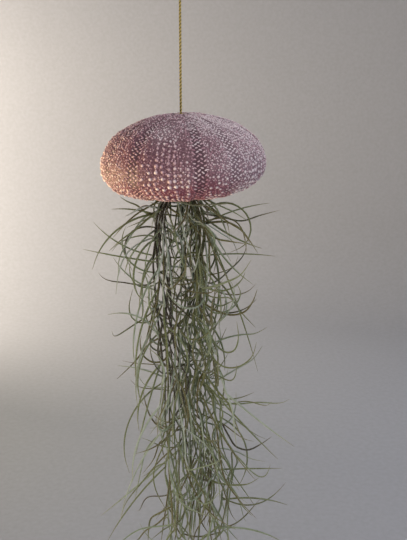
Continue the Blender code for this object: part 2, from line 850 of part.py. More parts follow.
def main():
    """Build the whole object."""
    clear_scene()
    gold = make_material("gold", 0.4, 0.8)
    make_shell(make_material("shell", 0.7))
    make_tube_curve("gold_cord", cord_route(), CORD_DIAMETER, gold)
    wound = CORD_DIAMETER + GAP
    make_coil("loop_knot", wound, LOOP_KNOT_TURNS, LOOP_KNOT_TOP_Z - GAP, CORD_DIAMETER, gold)
    bead_bottom_z = make_bead(make_material("wood", 0.6))
    make_coil("stopper_knot", wound, STOPPER_KNOT_TURNS, bead_bottom_z - GAP, CORD_DIAMETER, gold)
    tie_radius = bundle_radius() + GAP + TIE_WIRE_DIAMETER / 2
    wire = make_material("wire", 0.45, 1.0)
    make_coil("moss_tie", tie_radius, TIE_TURNS, TIE_TOP_Z, TIE_WIRE_DIAMETER, wire)
    make_moss(make_material("moss", 0.75))


main()
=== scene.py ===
"""An air plant jellyfish: a sea urchin shell hung on a gold cord, with Spanish moss in its mouth.

Lengths are in metres, +Z is up and -Y is the side that faces the viewer. The origin is the inner
top of the cord's hanging loop, where a hook carries it, so everything else hangs below z = 0.
"""

import itertools
import logging
import math
import random
from collections import defaultdict
from collections.abc import Iterator, Sequence
from dataclasses import dataclass, field
from enum import Enum
from typing import Any, NamedTuple

import bpy
import numpy as np
from bpy.types import Collection, Material, NodeSocket, NodeTree, Object
from mathutils import Matrix, Vector


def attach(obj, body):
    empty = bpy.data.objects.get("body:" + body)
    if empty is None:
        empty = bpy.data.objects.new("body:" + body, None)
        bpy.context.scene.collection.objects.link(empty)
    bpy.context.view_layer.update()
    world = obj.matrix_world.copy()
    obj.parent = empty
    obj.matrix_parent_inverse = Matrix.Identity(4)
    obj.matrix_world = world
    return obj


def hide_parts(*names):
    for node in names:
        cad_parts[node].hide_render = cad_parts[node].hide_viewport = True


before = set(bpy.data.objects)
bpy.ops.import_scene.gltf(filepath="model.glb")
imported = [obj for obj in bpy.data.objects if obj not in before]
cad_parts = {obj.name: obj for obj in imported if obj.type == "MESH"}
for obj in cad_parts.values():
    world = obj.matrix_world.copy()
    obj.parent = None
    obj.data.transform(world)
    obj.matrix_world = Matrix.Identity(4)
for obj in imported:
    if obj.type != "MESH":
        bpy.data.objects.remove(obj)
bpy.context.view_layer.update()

log = logging.getLogger("air_plant_jellyfish")

MM = 0.001
GAP = 0.3 * MM  # what touching pieces keep between them
TINY = 1e-12  # keeps a division clear of zero
SHELL_SEED = 11
MOSS_SEED = 6
FINE_SEED = 23
BODY = "root"

# Sizes that several pieces share
CORD_DIAMETER = 1.3 * MM
SHELL_TOP_Z = -88 * MM
SHELL_WALL = 1.6 * MM
HOLE_RADIUS = 3.5 * MM
TIE_TOP_Z = -113 * MM

# Names for kinds of value
Array = np.ndarray
Pair = tuple[float, float]  # the two ends of a range, or two coordinates
Line = Sequence[Vector]  # the points that a line runs through
Faces = list[tuple[int, ...]]  # each face's points, by their numbers

# Sockets of a colour Mix node, whose names repeat
MIX_FACTOR, MIX_A, MIX_B, MIX_RESULT = 0, 6, 7, 2


# -------- helpers


def linear(code: str) -> tuple[float, float, float, float]:
    """Turn an sRGB hex colour into linear light.

    Args:
        code: the colour, such as "#A0818E".

    Returns:
        Red, green, blue and an alpha of 1.
    """
    parts = [int(code[k : k + 2], 16) / 255 for k in (1, 3, 5)]
    red, green, blue = (
        part / 12.92 if part <= 0.04045 else ((part + 0.055) / 1.055) ** 2.4 for part in parts
    )
    return red, green, blue, 1.0


def per(size: float) -> float:
    """The scale of a pattern whose features are this many metres across."""
    return 1 / size


def add_node(
    tree: NodeTree,
    kind: str,
    output: str | int,
    inputs: dict[str | int, Any] | None = None,
    stops: Sequence[tuple[float, str]] = (),
    **settings: Any,
) -> NodeSocket:
    """Add a node with its settings and links.

    Args:
        tree: the material's node tree.
        kind: the node's type.
        output: the name or number of the output that is used.
        inputs: for each input's name or number, a value or the socket that feeds it.
        stops: for a colour ramp, its positions and sRGB hex colours.
        settings: the node's own properties.

    Returns:
        That output.
    """
    node = tree.nodes.new(kind)
    for name, value in settings.items():
        setattr(node, name, value)
    for name, value in (inputs or {}).items():
        if isinstance(value, NodeSocket):
            tree.links.new(value, node.inputs[name])
        else:
            node.inputs[name].default_value = value
    for place, (position, code) in enumerate(stops):
        elements = node.color_ramp.elements
        element = elements[place] if place < 2 else elements.new(position)
        element.position = position
        element.color = linear(code)
    return node.outputs[output]


def smoothstep(values: Array | float, low: float, high: float) -> Array | float:
    """Rise smoothly from 0 at low to 1 at high."""
    share = np.clip((values - low) / (high - low), 0, 1)
    return share * share * (3 - 2 * share)


def band(values: Array, rise: Pair, fall: Pair) -> Array:
    """Rise smoothly from 0 to 1 over one range, and fall back to 0 over a later one."""
    return smoothstep(values, *rise) * (1 - smoothstep(values, *fall))


def round_axis(r: Array, bearing: Array, z: Array) -> Array:
    """Place radii at bearings and heights round the axis."""
    return np.stack(np.broadcast_arrays(r * np.cos(bearing), r * np.sin(bearing), z), axis=-1)


def spline_point(knots: Sequence[Any], position: float) -> Vector:
    """Find a point on the smooth curve through knots.

    Args:
        knots: the points that the curve passes through.
        position: how far along, counted in knots.

    Returns:
        The point.
    """
    last = len(knots) - 1
    position = min(max(position, 0.0), float(last))
    start = min(int(position), last - 1)
    t = position - start
    before, a, b, after = (
        Vector(knots[min(max(i, 0), last)]) for i in range(start - 1, start + 3)
    )
    return 0.5 * (
        2 * a
        + t * (b - before)
        + t * t * (2 * before - 5 * a + 4 * b - after)
        + t**3 * (3 * a - before - 3 * b + after)
    )


def drawn_finely(knots: Sequence[Any], count: int) -> list[Vector]:
    """Draw the smooth curve through knots, with count steps from each knot to the next."""
    return [spline_point(knots, k / count) for k in range(count * (len(knots) - 1) + 1)]


def wound(radius: float, pitch: float, turns: float, top_z: float, steps: int) -> list[Vector]:
    """Wind a line round the axis.

    Args:
        radius: how far out it runs.
        pitch: how far down each turn goes.
        turns: how many turns it takes.
        top_z: the height that it starts from.
        steps: how many steps a turn has.

    Returns:
        Its points from the top down.
    """
    count = round(turns * steps)
    line = []
    for k in range(count + 1):
        angle = math.tau * turns * k / count
        z = top_z - pitch * turns * k / count
        line.append(Vector((radius * math.cos(angle), radius * math.sin(angle), z)))
    return line


def evenly_along(points: Line, step: float) -> list[Vector]:
    """Space points about a step apart along a finely drawn line, and keep both its ends.

    Args:
        points: the line.
        step: the wanted distance.

    Returns:
        The spaced points.
    """
    lengths = [0.0]
    for a, b in zip(points, points[1:]):
        lengths.append(lengths[-1] + (b - a).length)
    count = max(1, round(lengths[-1] / step))
    found, at = [], 0
    for k in range(count + 1):
        wanted = lengths[-1] * k / count
        while at < len(points) - 2 and lengths[at + 1] < wanted:
            at += 1
        share = (wanted - lengths[at]) / max(lengths[at + 1] - lengths[at], TINY)
        found.append(points[at].lerp(points[at + 1], min(share, 1.0)))
    return found


def length_of(points: Line) -> float:
    """The length of a line of points."""
    return sum((b - a).length for a, b in zip(points, points[1:]))


def frames_along(points: Line) -> list[tuple[Vector, Vector]]:
    """Carry two crosswise directions along a line without twisting them.

    Args:
        points: the line.

    Returns:
        The two directions at each point.
    """
    last = len(points) - 1
    across = None
    found = []
    for k in range(last + 1):
        tangent = (points[min(k + 1, last)] - points[max(k - 1, 0)]).normalized()
        across = tangent.orthogonal() if across is None else across
        across = (across - across.dot(tangent) * tangent).normalized()
        found.append((across, tangent.cross(across)))
    return found


class Patchwork:
    """Gathers faces with values at their points, and makes one object of them."""

    def __init__(self) -> None:
        """Start with nothing."""
        self.points: list[Array] = []
        self.faces: Faces = []
        self.values: dict[str, list[Array]] = defaultdict(list)
        self.count = 0

    def add(self, points: Array, faces: Sequence[Sequence[int]], **values: Any) -> None:
        """Add a patch.

        Args:
            points: its points, one a row.
            faces: its faces, numbered from its own first point.
            values: for each attribute, one number or one for each point.
        """
        self.points.append(np.asarray(points, dtype=float))
        self.faces += [tuple(k + self.count for k in face) for face in faces]
        for name, value in values.items():
            self.values[name].append(np.broadcast_to(np.asarray(value, float), len(points)))
        self.count += len(points)

    def add_tube(self, points: Line, radii: Sequence[float], sides: int, **values: Any) -> None:
        """Add a closed round tube.

        Args:
            points: its middle line.
            radii: its radius at each point, where a last 0 ends it in a point.
            sides: how many sides it has.
            values: for each attribute, one number or one for each point of the line.
        """
        angles = np.arange(sides) * math.tau / sides
        line = np.array([tuple(point) for point in points])
        frames = frames_along(points)
        across = np.array([tuple(first) for first, _ in frames])
        aside = np.array([tuple(second) for _, second in frames])
        wide = np.asarray(radii, float)[:, None, None]
        rings = line[:, None] + wide * (
            np.cos(angles)[None, :, None] * across[:, None]
            + np.sin(angles)[None, :, None] * aside[:, None]
        )
        faces = tube_faces(len(points), sides)
        spread = {
            name: np.repeat(np.broadcast_to(np.asarray(value, float), len(points)), sides)
            for name, value in values.items()
        }
        self.add(rings.reshape(-1, 3), faces, **spread)

    def make(self, name: str, material: Material) -> Object:
        """Make the object.

        Args:
            name: the piece's name.
            material: its finish.

        Returns:
            The object, shaded smooth and linked into the scene.
        """
        mesh = bpy.data.meshes.new(name)
        mesh.from_pydata(np.concatenate(self.points).tolist(), [], self.faces)
        for attribute, values in self.values.items():
            layer = mesh.attributes.new(attribute, "FLOAT", "POINT")
            layer.data.foreach_set("value", np.concatenate(values).astype(np.float32))
        mesh.validate()
        mesh.shade_smooth()
        obj = bpy.data.objects.new(name, mesh)
        mesh.materials.append(material)
        bpy.context.scene.collection.objects.link(obj)
        return obj


def tube_faces(rings: int, sides: int) -> Faces:
    """List a tube's faces: its wall and its two flat ends.

    Args:
        rings: how many rings of points it has.
        sides: how many points a ring has.

    Returns:
        The faces, with the two ends last.
    """
    faces: Faces = []
    for ring in range(rings - 1):
        for side in range(sides):
            a, b = ring * sides + side, ring * sides + (side + 1) % sides
            faces.append((a, b, b + sides, a + sides))
    faces.append(tuple(reversed(range(sides))))
    last = (rings - 1) * sides
    faces.append(tuple(range(last, last + sides)))
    return faces


def place_piece(obj: Object, slot: str, *nodes: str) -> Object:
    """Let a piece ride on the body and stand for its solids.

    Args:
        obj: the piece.
        slot: not used.
        nodes: the solids that it replaces.

    Returns:
        The piece.
    """
    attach(obj, BODY)
    if nodes:
        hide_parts(*nodes)
    log.info("%s: %d faces", obj.name, len(obj.data.polygons))
    return obj


# -------- finishes


@dataclass(frozen=True)
class Finish:
    """A material, named for what it is made of and how its surface came about."""

    name: str
    roughness: float
    ior: float = 1.5
    metallic: float = 0.0
    sheen: float = 0.0
    relief: float = 0.0  # how strongly its fine relief shows
    relief_height: float = 0.0

    def start(self) -> tuple[Material, NodeTree, NodeSocket]:
        """Make the material with its plain values.

        Returns:
            The material, its node tree and the place of each point on the piece.
        """
        material = bpy.data.materials.new(self.name)
        material.use_nodes = True
        tree = material.node_tree
        shader = tree.nodes["Principled BSDF"]
        shader.inputs["Roughness"].default_value = self.roughness
        shader.inputs["Metallic"].default_value = self.metallic
        shader.inputs["Sheen Weight"].default_value = self.sheen
        if not self.metallic:
            shader.inputs["IOR"].default_value = self.ior
        return material, tree, add_node(tree, "ShaderNodeTexCoord", "Object")

    def connect(self, tree: NodeTree, colour: NodeSocket, height: NodeSocket | None = None) -> None:
        """Feed the shader its colour, and its fine relief where it has some.

        Args:
            tree: the material's node tree.
            colour: what gives the colour.
            height: what gives the height of the relief.
        """
        shader = tree.nodes["Principled BSDF"]
        tree.links.new(colour, shader.inputs["Base Color"])
        if height is not None:
            bump = add_node(
                tree, "ShaderNodeBump", "Normal",
                {"Height": height, "Strength": self.relief, "Distance": self.relief_height},
            )
            tree.links.new(bump, shader.inputs["Normal"])


@dataclass(frozen=True)
class DriedUrchinTest(Finish):
    """The calcite wall of a sea urchin, cleaned of its spines and dried.

    The eye sees a dark mauve ground, greyer at the top, wine red low down and chalky where it has
    weathered, with gritty grain. The zones of pores and the edge of the hole are darkened with
    painted shade, and painted warm light lies on the wall near the mouth.
    """

    name: str = "dried urchin calcite"
    roughness: float = 0.66
    ior: float = 1.58
    mauve: str = "#5A3341"
    grey: str = "#765C65"
    wine: str = "#681838"
    chalk: str = "#B5A4AB"
    # painted warm light, laid on the wall near the mouth
    rim: str = "#A98078"
    # painted shade of the pores and of the hole's edge
    pore: str = "#3E1E2B"
    inner: str = "#B9A79C"
    light_grain: str = "#AE8B95"
    grain: float = 0.8 * MM  # the real grain is about 0.1 mm, too fine to show
    mottle: float = 7 * MM
    relief: float = 0.7
    relief_height: float = 0.16 * MM

    def make(self) -> Material:
        """Build the material from the values stored on the wall: top, wine, chalk, the painted
        shade of the pores, the painted warm light of the rim and so on.

        Returns:
            The material.
        """
        material, tree, place = self.start()
        mottle = add_node(
            tree, "ShaderNodeTexNoise", "Fac",
            {"Vector": place, "Scale": per(self.mottle), "Detail": 4.0, "Roughness": 0.6},
        )
        grain = add_node(
            tree, "ShaderNodeTexNoise", "Fac",
            {"Vector": place, "Scale": per(self.grain), "Detail": 2.0},
        )
        patches = add_node(
            tree, "ShaderNodeMapRange", "Result",
            {"Value": mottle, "From Min": 0.3, "From Max": 0.6, "To Min": 0.35},
        )
        speck = add_node(
            tree, "ShaderNodeMapRange", "Result",
            {"Value": grain, "From Min": 0.48, "From Max": 0.75, "To Max": 0.6},
        )
        colour = add_node(
            tree, "ShaderNodeMix", MIX_RESULT,
            {MIX_FACTOR: speck, MIX_A: linear(self.mauve), MIX_B: linear(self.light_grain)},
            data_type="RGBA",
        )
        layers = (
            ("top", self.grey, patches),
            ("wine", self.wine, patches),
            ("chalk", self.chalk, patches),
            # painted warm light near the mouth
            ("rim", self.rim, patches),
            # painted shade in the pore zones and round the hole
            ("pores", self.pore, None),
            ("inside", self.inner, None),
        )
        for attribute, tint, broken in layers:
            amount = add_node(tree, "ShaderNodeAttribute", "Fac", attribute_name=attribute)
            if broken is not None:
                amount = add_node(
                    tree, "ShaderNodeMath", 0, {0: amount, 1: broken}, operation="MULTIPLY"
                )
            colour = add_node(
                tree, "ShaderNodeMix", MIX_RESULT,
                {MIX_FACTOR: amount, MIX_A: colour, MIX_B: linear(tint)}, data_type="RGBA",
            )
        self.connect(tree, colour, grain)
        return material


@dataclass(frozen=True)
class WornTubercle(Finish):
    """The knobs and granules that carried the spines, rubbed by sand and water.

    The eye sees grains from dusty mauve to ivory, the large ones pale on top and the colour of
    the ground round their feet. Near the mouth they carry painted warm light.
    """

    name: str = "worn tubercle calcite"
    roughness: float = 0.55
    ior: float = 1.58
    foot: str = "#5A3C48"
    dusty: str = "#9F7481"
    pale: str = "#C9A9B2"
    ivory: str = "#E2D6DA"
    wine: str = "#862C4C"
    # painted warm light, for the grains near the mouth
    warm_light: str = "#B98F80"
    wear: float = 0.5 * MM
    relief: float = 0.4
    relief_height: float = 0.08 * MM

    def make(self) -> Material:
        """Build the material from each grain's height, tone, wine and painted warm light near the
        mouth.

        Returns:
            The material.
        """
        material, tree, place = self.start()
        read = {
            name: add_node(tree, "ShaderNodeAttribute", "Fac", attribute_name=name)
            for name in ("height", "tone", "wine", "rim")
        }
        wear = add_node(
            tree, "ShaderNodeTexNoise", "Fac",
            {"Vector": place, "Scale": per(self.wear), "Detail": 1.0},
        )
        tone = add_node(
            tree, "ShaderNodeMath", 0, {0: wear, 1: 0.4, 2: read["tone"]}, operation="MULTIPLY_ADD"
        )
        tone = add_node(
            tree, "ShaderNodeMapRange", "Result", {"Value": tone, "From Min": 0.2, "From Max": 1.2}
        )
        colour = add_node(
            tree, "ShaderNodeValToRGB", "Color",
            {"Fac": tone},
            stops=((0.0, self.foot), (0.3, self.dusty), (0.65, self.pale), (1.0, self.ivory)),
        )
        # the second pair lays painted warm light on the grains near the mouth
        for amount, tint in ((read["wine"], self.wine), (read["rim"], self.warm_light)):
            colour = add_node(
                tree, "ShaderNodeMix", MIX_RESULT,
                {MIX_FACTOR: amount, MIX_A: colour, MIX_B: linear(tint)}, data_type="RGBA",
            )
        risen = add_node(
            tree, "ShaderNodeMapRange", "Result", {"Value": read["height"], "From Max": 0.6}
        )
        colour = add_node(
            tree, "ShaderNodeMix", MIX_RESULT,
            {MIX_FACTOR: risen, MIX_A: linear(self.foot), MIX_B: colour}, data_type="RGBA",
        )
        self.connect(tree, colour, wear)
        return material


@dataclass(frozen=True)
class MetallisedYarn(Finish):
    """Gold thread: slit metallised film wrapped round a core, two plies twisted together.

    The eye sees bright slanting beads of gold with brown shade in the grooves between them.
    """

    name: str = "gold metallised yarn"
    roughness: float = 0.45
    metallic: float = 0.6
    bright: str = "#E3CF7E"
    dull: str = "#8F7C38"
    # painted shade in the grooves between the plies
    groove: str = "#241C08"
    slit: float = 0.16 * MM
    relief: float = 0.6
    relief_height: float = 0.03 * MM

    def make(self) -> Material:
        """Build the material from how deep in the twist each point lies, painting shade into the
        grooves.

        Returns:
            The material.
        """
        material, tree, place = self.start()
        depth = add_node(tree, "ShaderNodeAttribute", "Fac", attribute_name="groove")
        film = add_node(
            tree, "ShaderNodeTexNoise", "Fac",
            {"Vector": place, "Scale": per(self.slit), "Detail": 1.0},
        )
        colour = add_node(
            tree, "ShaderNodeValToRGB", "Color",
            {"Fac": film}, stops=((0.35, self.dull), (0.62, self.bright)),
        )
        colour = add_node(
            tree, "ShaderNodeMix", MIX_RESULT,
            {MIX_FACTOR: depth, MIX_A: colour, MIX_B: linear(self.groove)}, data_type="RGBA",
        )
        self.connect(tree, colour, film)
        return material


@dataclass(frozen=True)
class TurnedBeech(Finish):
    """Beech, turned and stained brown.

    The eye sees fine darker rings along the grain under a thin coat of oil.
    """

    name: str = "stained turned beech"
    roughness: float = 0.45
    ior: float = 1.47
    early: str = "#8A6240"
    late: str = "#5C3D26"
    ring: float = 0.9 * MM
    fibre: float = 0.3 * MM
    relief: float = 0.3
    relief_height: float = 0.05 * MM

    def make(self) -> Material:
        """Build the material: growth rings bent by slow noise, and fibre specks.

        Returns:
            The material.
        """
        material, tree, place = self.start()
        rings = add_node(
            tree, "ShaderNodeTexWave", "Fac",
            {"Vector": place, "Scale": per(self.ring) / math.tau, "Distortion": 3.0},
            bands_direction="X",
        )
        fibre = add_node(
            tree, "ShaderNodeTexNoise", "Fac",
            {"Vector": place, "Scale": per(self.fibre), "Detail": 3.0},
        )
        mixed = add_node(
            tree, "ShaderNodeMath", 0, {0: rings, 1: 0.6, 2: fibre}, operation="MULTIPLY_ADD"
        )
        colour = add_node(
            tree, "ShaderNodeValToRGB", "Color",
            {"Fac": mixed}, stops=((0.4, self.late), (0.95, self.early)),
        )
        self.connect(tree, colour, fibre)
        return material


@dataclass(frozen=True)
class DrawnBrassWire(Finish):
    """Soft brass wire, drawn and left to dull.

    The eye sees a brownish yellow metal with faint darker stains.
    """

    name: str = "dull drawn brass"
    roughness: float = 0.42
    metallic: float = 1.0
    clean: str = "#B3945C"
    stained: str = "#6F5A38"
    stain: float = 1.4 * MM

    def make(self) -> Material:
        """Build the material: clean brass with stains.

        Returns:
            The material.
        """
        material, tree, place = self.start()
        stain = add_node(
            tree, "ShaderNodeTexNoise", "Fac",
            {"Vector": place, "Scale": per(self.stain), "Detail": 4.0},
        )
        colour = add_node(
            tree, "ShaderNodeValToRGB", "Color",
            {"Fac": stain}, stops=((0.35, self.clean), (0.7, self.stained)),
        )
        self.connect(tree, colour)
        return material


@dataclass(frozen=True)
class SpanishMoss(Finish):
    """Live Spanish moss: thin green stems and leaves under a felt of silvery scales.

    The eye sees soft grey green threads, some older and almost brown, with pale flecks where the
    scales stand thickest and straw-coloured tips.
    """

    name: str = "silver scaled moss"
    roughness: float = 0.72
    ior: float = 1.4
    sheen: float = 0.25
    olive: str = "#56501F"
    green: str = "#656F40"
    grey_green: str = "#819074"
    silver: str = "#A2AE9E"
    scale: str = "#BDC8B9"
    brown: str = "#2A1D10"
    straw: str = "#969172"
    scale_patch: float = 0.5 * MM  # the real scales are about 0.2 mm, too fine to show
    thread_patch: float = 4 * MM
    relief: float = 0.6
    relief_height: float = 0.06 * MM

    def make(self) -> Material:
        """Build the material from each thread's tone, age and distance from its root.

        Returns:
            The material.
        """
        material, tree, place = self.start()
        read = {
            name: add_node(tree, "ShaderNodeAttribute", "Fac", attribute_name=name)
            for name in ("tone", "age", "along")
        }
        scales = add_node(
            tree, "ShaderNodeTexNoise", "Fac",
            {"Vector": place, "Scale": per(self.scale_patch), "Detail": 3.0, "Roughness": 0.65},
        )
        drift = add_node(
            tree, "ShaderNodeTexNoise", "Fac",
            {"Vector": place, "Scale": per(self.thread_patch), "Detail": 1.0},
        )
        tone = add_node(
            tree, "ShaderNodeMath", 0, {0: drift, 1: 0.5, 2: read["tone"]}, operation="MULTIPLY_ADD"
        )
        tone = add_node(
            tree, "ShaderNodeMapRange", "Result",
            {"Value": tone, "From Min": 0.25, "From Max": 1.25},
        )
        colour = add_node(
            tree, "ShaderNodeValToRGB", "Color",
            {"Fac": tone},
            stops=(
                (0.0, self.olive),
                (0.35, self.green),
                (0.75, self.grey_green),
                (1.0, self.silver),
            ),
        )
        tip = add_node(
            tree, "ShaderNodeMapRange", "Result",
            {"Value": read["along"], "From Min": 0.7, "From Max": 1.0, "To Max": 0.6},
        )
        cover = add_node(
            tree, "ShaderNodeMapRange", "Result",
            {"Value": scales, "From Min": 0.5, "From Max": 0.72, "To Max": 0.45},
        )
        for amount, tint in ((read["age"], self.brown), (tip, self.straw), (cover, self.scale)):
            colour = add_node(
                tree, "ShaderNodeMix", MIX_RESULT,
                {MIX_FACTOR: amount, MIX_A: colour, MIX_B: linear(tint)}, data_type="RGBA",
            )
        self.connect(tree, colour, scales)
        return material


@dataclass(frozen=True)
class MattEmulsion(Finish):
    """Matt emulsion paint, rolled on.

    The eye sees an even pale grey with the faint orange peel of the roller.
    """

    name: str = "matt emulsion paint"
    roughness: float = 0.9
    paint: str = "#A8ABB2"
    shade: str = "#A2A5AB"
    peel: float = 5 * MM  # a roller leaves about 2 mm, too fine to show from here
    relief: float = 0.3
    relief_height: float = 0.15 * MM

    def make(self) -> Material:
        """Build the material: two near shades and the roller's texture.

        Returns:
            The material.
        """
        material, tree, place = self.start()
        peel = add_node(
            tree, "ShaderNodeTexNoise", "Fac",
            {"Vector": place, "Scale": per(self.peel), "Detail": 2.0},
        )
        colour = add_node(
            tree, "ShaderNodeValToRGB", "Color",
            {"Fac": peel}, stops=((0.3, self.shade), (0.7, self.paint)),
        )
        self.connect(tree, colour, peel)
        return material


# -------- studio


class Lamp(NamedTuple):
    """A square soft light: where it is, what it faces, its side, its power and its colour.

    One that is for the shell alone lights nothing else.
    """

    name: str
    place: tuple[float, float, float]
    target: tuple[float, float, float]
    side: float
    watts: float
    colour: str
    for_shell: bool = False


def lit_by_shell_lamps() -> Collection:
    """The group of pieces that the shell's own lamps light."""
    name = "lit_by_shell_lamps"
    return bpy.data.collections.get(name) or bpy.data.collections.new(name)


@dataclass
class Studio:
    """The camera, a pale round sweep of floor and wall, and soft lights."""

    camera_place: tuple[float, float, float] = (0.0113, -0.405, -0.056)
    camera_dip: float = math.radians(15.6)
    sensor_height: float = 24.0
    lens: float = 24.0 * 40 / 27  # in millimetres, like the sensor
    floor_z: float = -0.46
    floor_start: float = 1 * MM  # the sweep's first ring, too small to see
    floor_radius: float = 0.75
    cove: float = 0.3
    wall_height: float = 1.1
    columns: int = 128
    cove_steps: int = 12
    ambient: str = "#DDE4F0"
    ambient_strength: float = 0.22
    lamps: tuple[Lamp, ...] = (
        Lamp("key", (0.58, -0.45, 0.1), (0.0, 0.0, -0.14), 0.4, 2.6, "#F5F1FA"),
        Lamp("overhead", (-0.1, -0.25, 0.5), (0.0, 0.0, -0.15), 0.5, 1.8, "#FFF6EE"),
        Lamp("fill", (-0.3, -0.5, -0.26), (0.0, 0.0, 0.06), 0.3, 0.4, "#FFEEDC"),
        Lamp("low_warm", (-0.31, 0.0, -0.21), (-0.05, 0.0, -0.04), 0.12, 1.9, "#FFE8A8", True),
        Lamp("low_left", (-0.3, -0.3, -0.42), (0.0, 0.0, -0.2), 0.3, 1.9, "#FFEBCF"),
        Lamp("back", (0.3, 0.55, 0.2), (0.0, 0.0, -0.18), 0.4, 1.3, "#F2F4FF"),
        Lamp("backdrop", (-0.58, 0.6, -0.12), (-0.44, 1.0, -0.16), 0.3, 5.9, "#FFEDD6"),
        Lamp("floor", (-0.35, 0.35, -0.05), (-0.15, 0.6, -0.45), 0.3, 0.62, "#FFE7A0"),
    )

    def add_camera(self) -> None:
        """Place the camera in front, looking slightly down."""
        data = bpy.data.cameras.new("camera")
        data.sensor_fit = "VERTICAL"
        data.sensor_height = self.sensor_height
        data.lens = self.lens
        camera = bpy.data.objects.new("camera", data)
        camera.location = self.camera_place
        camera.rotation_euler = (math.pi / 2 - self.camera_dip, 0, 0)
        bpy.context.scene.collection.objects.link(camera)
        bpy.context.scene.camera = camera

    def add_sweep(self) -> None:
        """Turn the floor, its cove and the wall round the object."""
        section = [(self.floor_start, self.floor_z), (self.floor_radius, self.floor_z)]
        for k in range(1, self.cove_steps + 1):
            angle = math.pi / 2 * k / self.cove_steps
            out, up = math.sin(angle), 1 - math.cos(angle)
            section.append((self.floor_radius + self.cove * out, self.floor_z + self.cove * up))
        section.append((self.floor_radius + self.cove, self.floor_z + self.wall_height))
        bearings = np.arange(self.columns) * math.tau / self.columns
        points = [
            (r * math.cos(angle), r * math.sin(angle), z) for r, z in section for angle in bearings
        ]
        faces = tube_faces(len(section), self.columns)[:-1]
        sweep = Patchwork()
        sweep.add(np.array(points), [face[::-1] for face in faces])
        sweep.make("studio_sweep", MattEmulsion().make())

    def add_lights(self) -> None:
        """Hang the soft lights, and let the room itself glow a little."""
        for lamp in self.lamps:
            data = bpy.data.lights.new(lamp.name, "AREA")
            data.shape = "SQUARE"
            data.size = lamp.side
            data.energy = lamp.watts
            data.color = linear(lamp.colour)[:3]
            light = bpy.data.objects.new(lamp.name, data)
            light.location = lamp.place
            aim = Vector(lamp.target) - Vector(lamp.place)
            light.rotation_euler = aim.to_track_quat("-Z", "Y").to_euler()
            light.visible_camera = False
            if lamp.for_shell:
                light.light_linking.receiver_collection = lit_by_shell_lamps()
            bpy.context.scene.collection.objects.link(light)
        world = bpy.data.worlds.new("room")
        world.use_nodes = True
        glow = world.node_tree.nodes["Background"]
        glow.inputs["Color"].default_value = linear(self.ambient)
        glow.inputs["Strength"].default_value = self.ambient_strength
        bpy.context.scene.world = world

    def build(self) -> None:
        """Set the whole studio up."""
        self.add_camera()
        self.add_sweep()
        self.add_lights()
        bpy.context.scene.view_settings.view_transform = "Standard"
        log.info("studio: %d lamps", len(self.lamps))


# -------- cord, bead and tie


@dataclass
class TwistedCord:
    """A two-ply cord, which can follow any line."""

    diameter: float = CORD_DIAMETER
    plies: int = 2
    ply_radius: float = 0.43 * MM  # the plies press into each other
    lead: float = 3.4 * MM  # along the cord, for one turn of a ply
    step: float = 0.28 * MM
    sides: int = 10
    # how dark the painted shade in the grooves gets
    groove_depth: float = 0.95
    groove_edge: Pair = (0.72, 0.99)  # its floor and top, in the cord's radii

    def strands(self, line: Line) -> Patchwork:
        """Wind the plies round a line.

        Args:
            line: the cord's middle, finely drawn.

        Returns:
            The faces, with how deep in the twist each point lies.
        """
        points = evenly_along(line, self.step)
        frames = frames_along(points)
        turn_radius = self.diameter / 2 - self.ply_radius
        made = Patchwork()
        length = length_of(points)
        for ply in range(self.plies):
            angles = [
                math.tau * (length * k / (len(points) - 1) / self.lead + ply / self.plies)
                for k in range(len(points))
            ]
            middle = [
                point + turn_radius * (math.cos(angle) * across + math.sin(angle) * aside)
                for point, (across, aside), angle in zip(points, frames, angles)
            ]
            made.add_tube(middle, [self.ply_radius] * len(middle), self.sides)
            around = made.points[-1].reshape(len(points), self.sides, 3)
            centre = np.array([tuple(point) for point in points])[:, None]
            away = np.linalg.norm(around - centre, axis=2)
            # painted shade: darker where a ply's surface lies nearer the cord's middle, in the
            # grooves
            groove = 1 - smoothstep(away / (self.diameter / 2), *self.groove_edge)
            made.values["groove"].append((self.groove_depth * groove).reshape(-1))
        return made


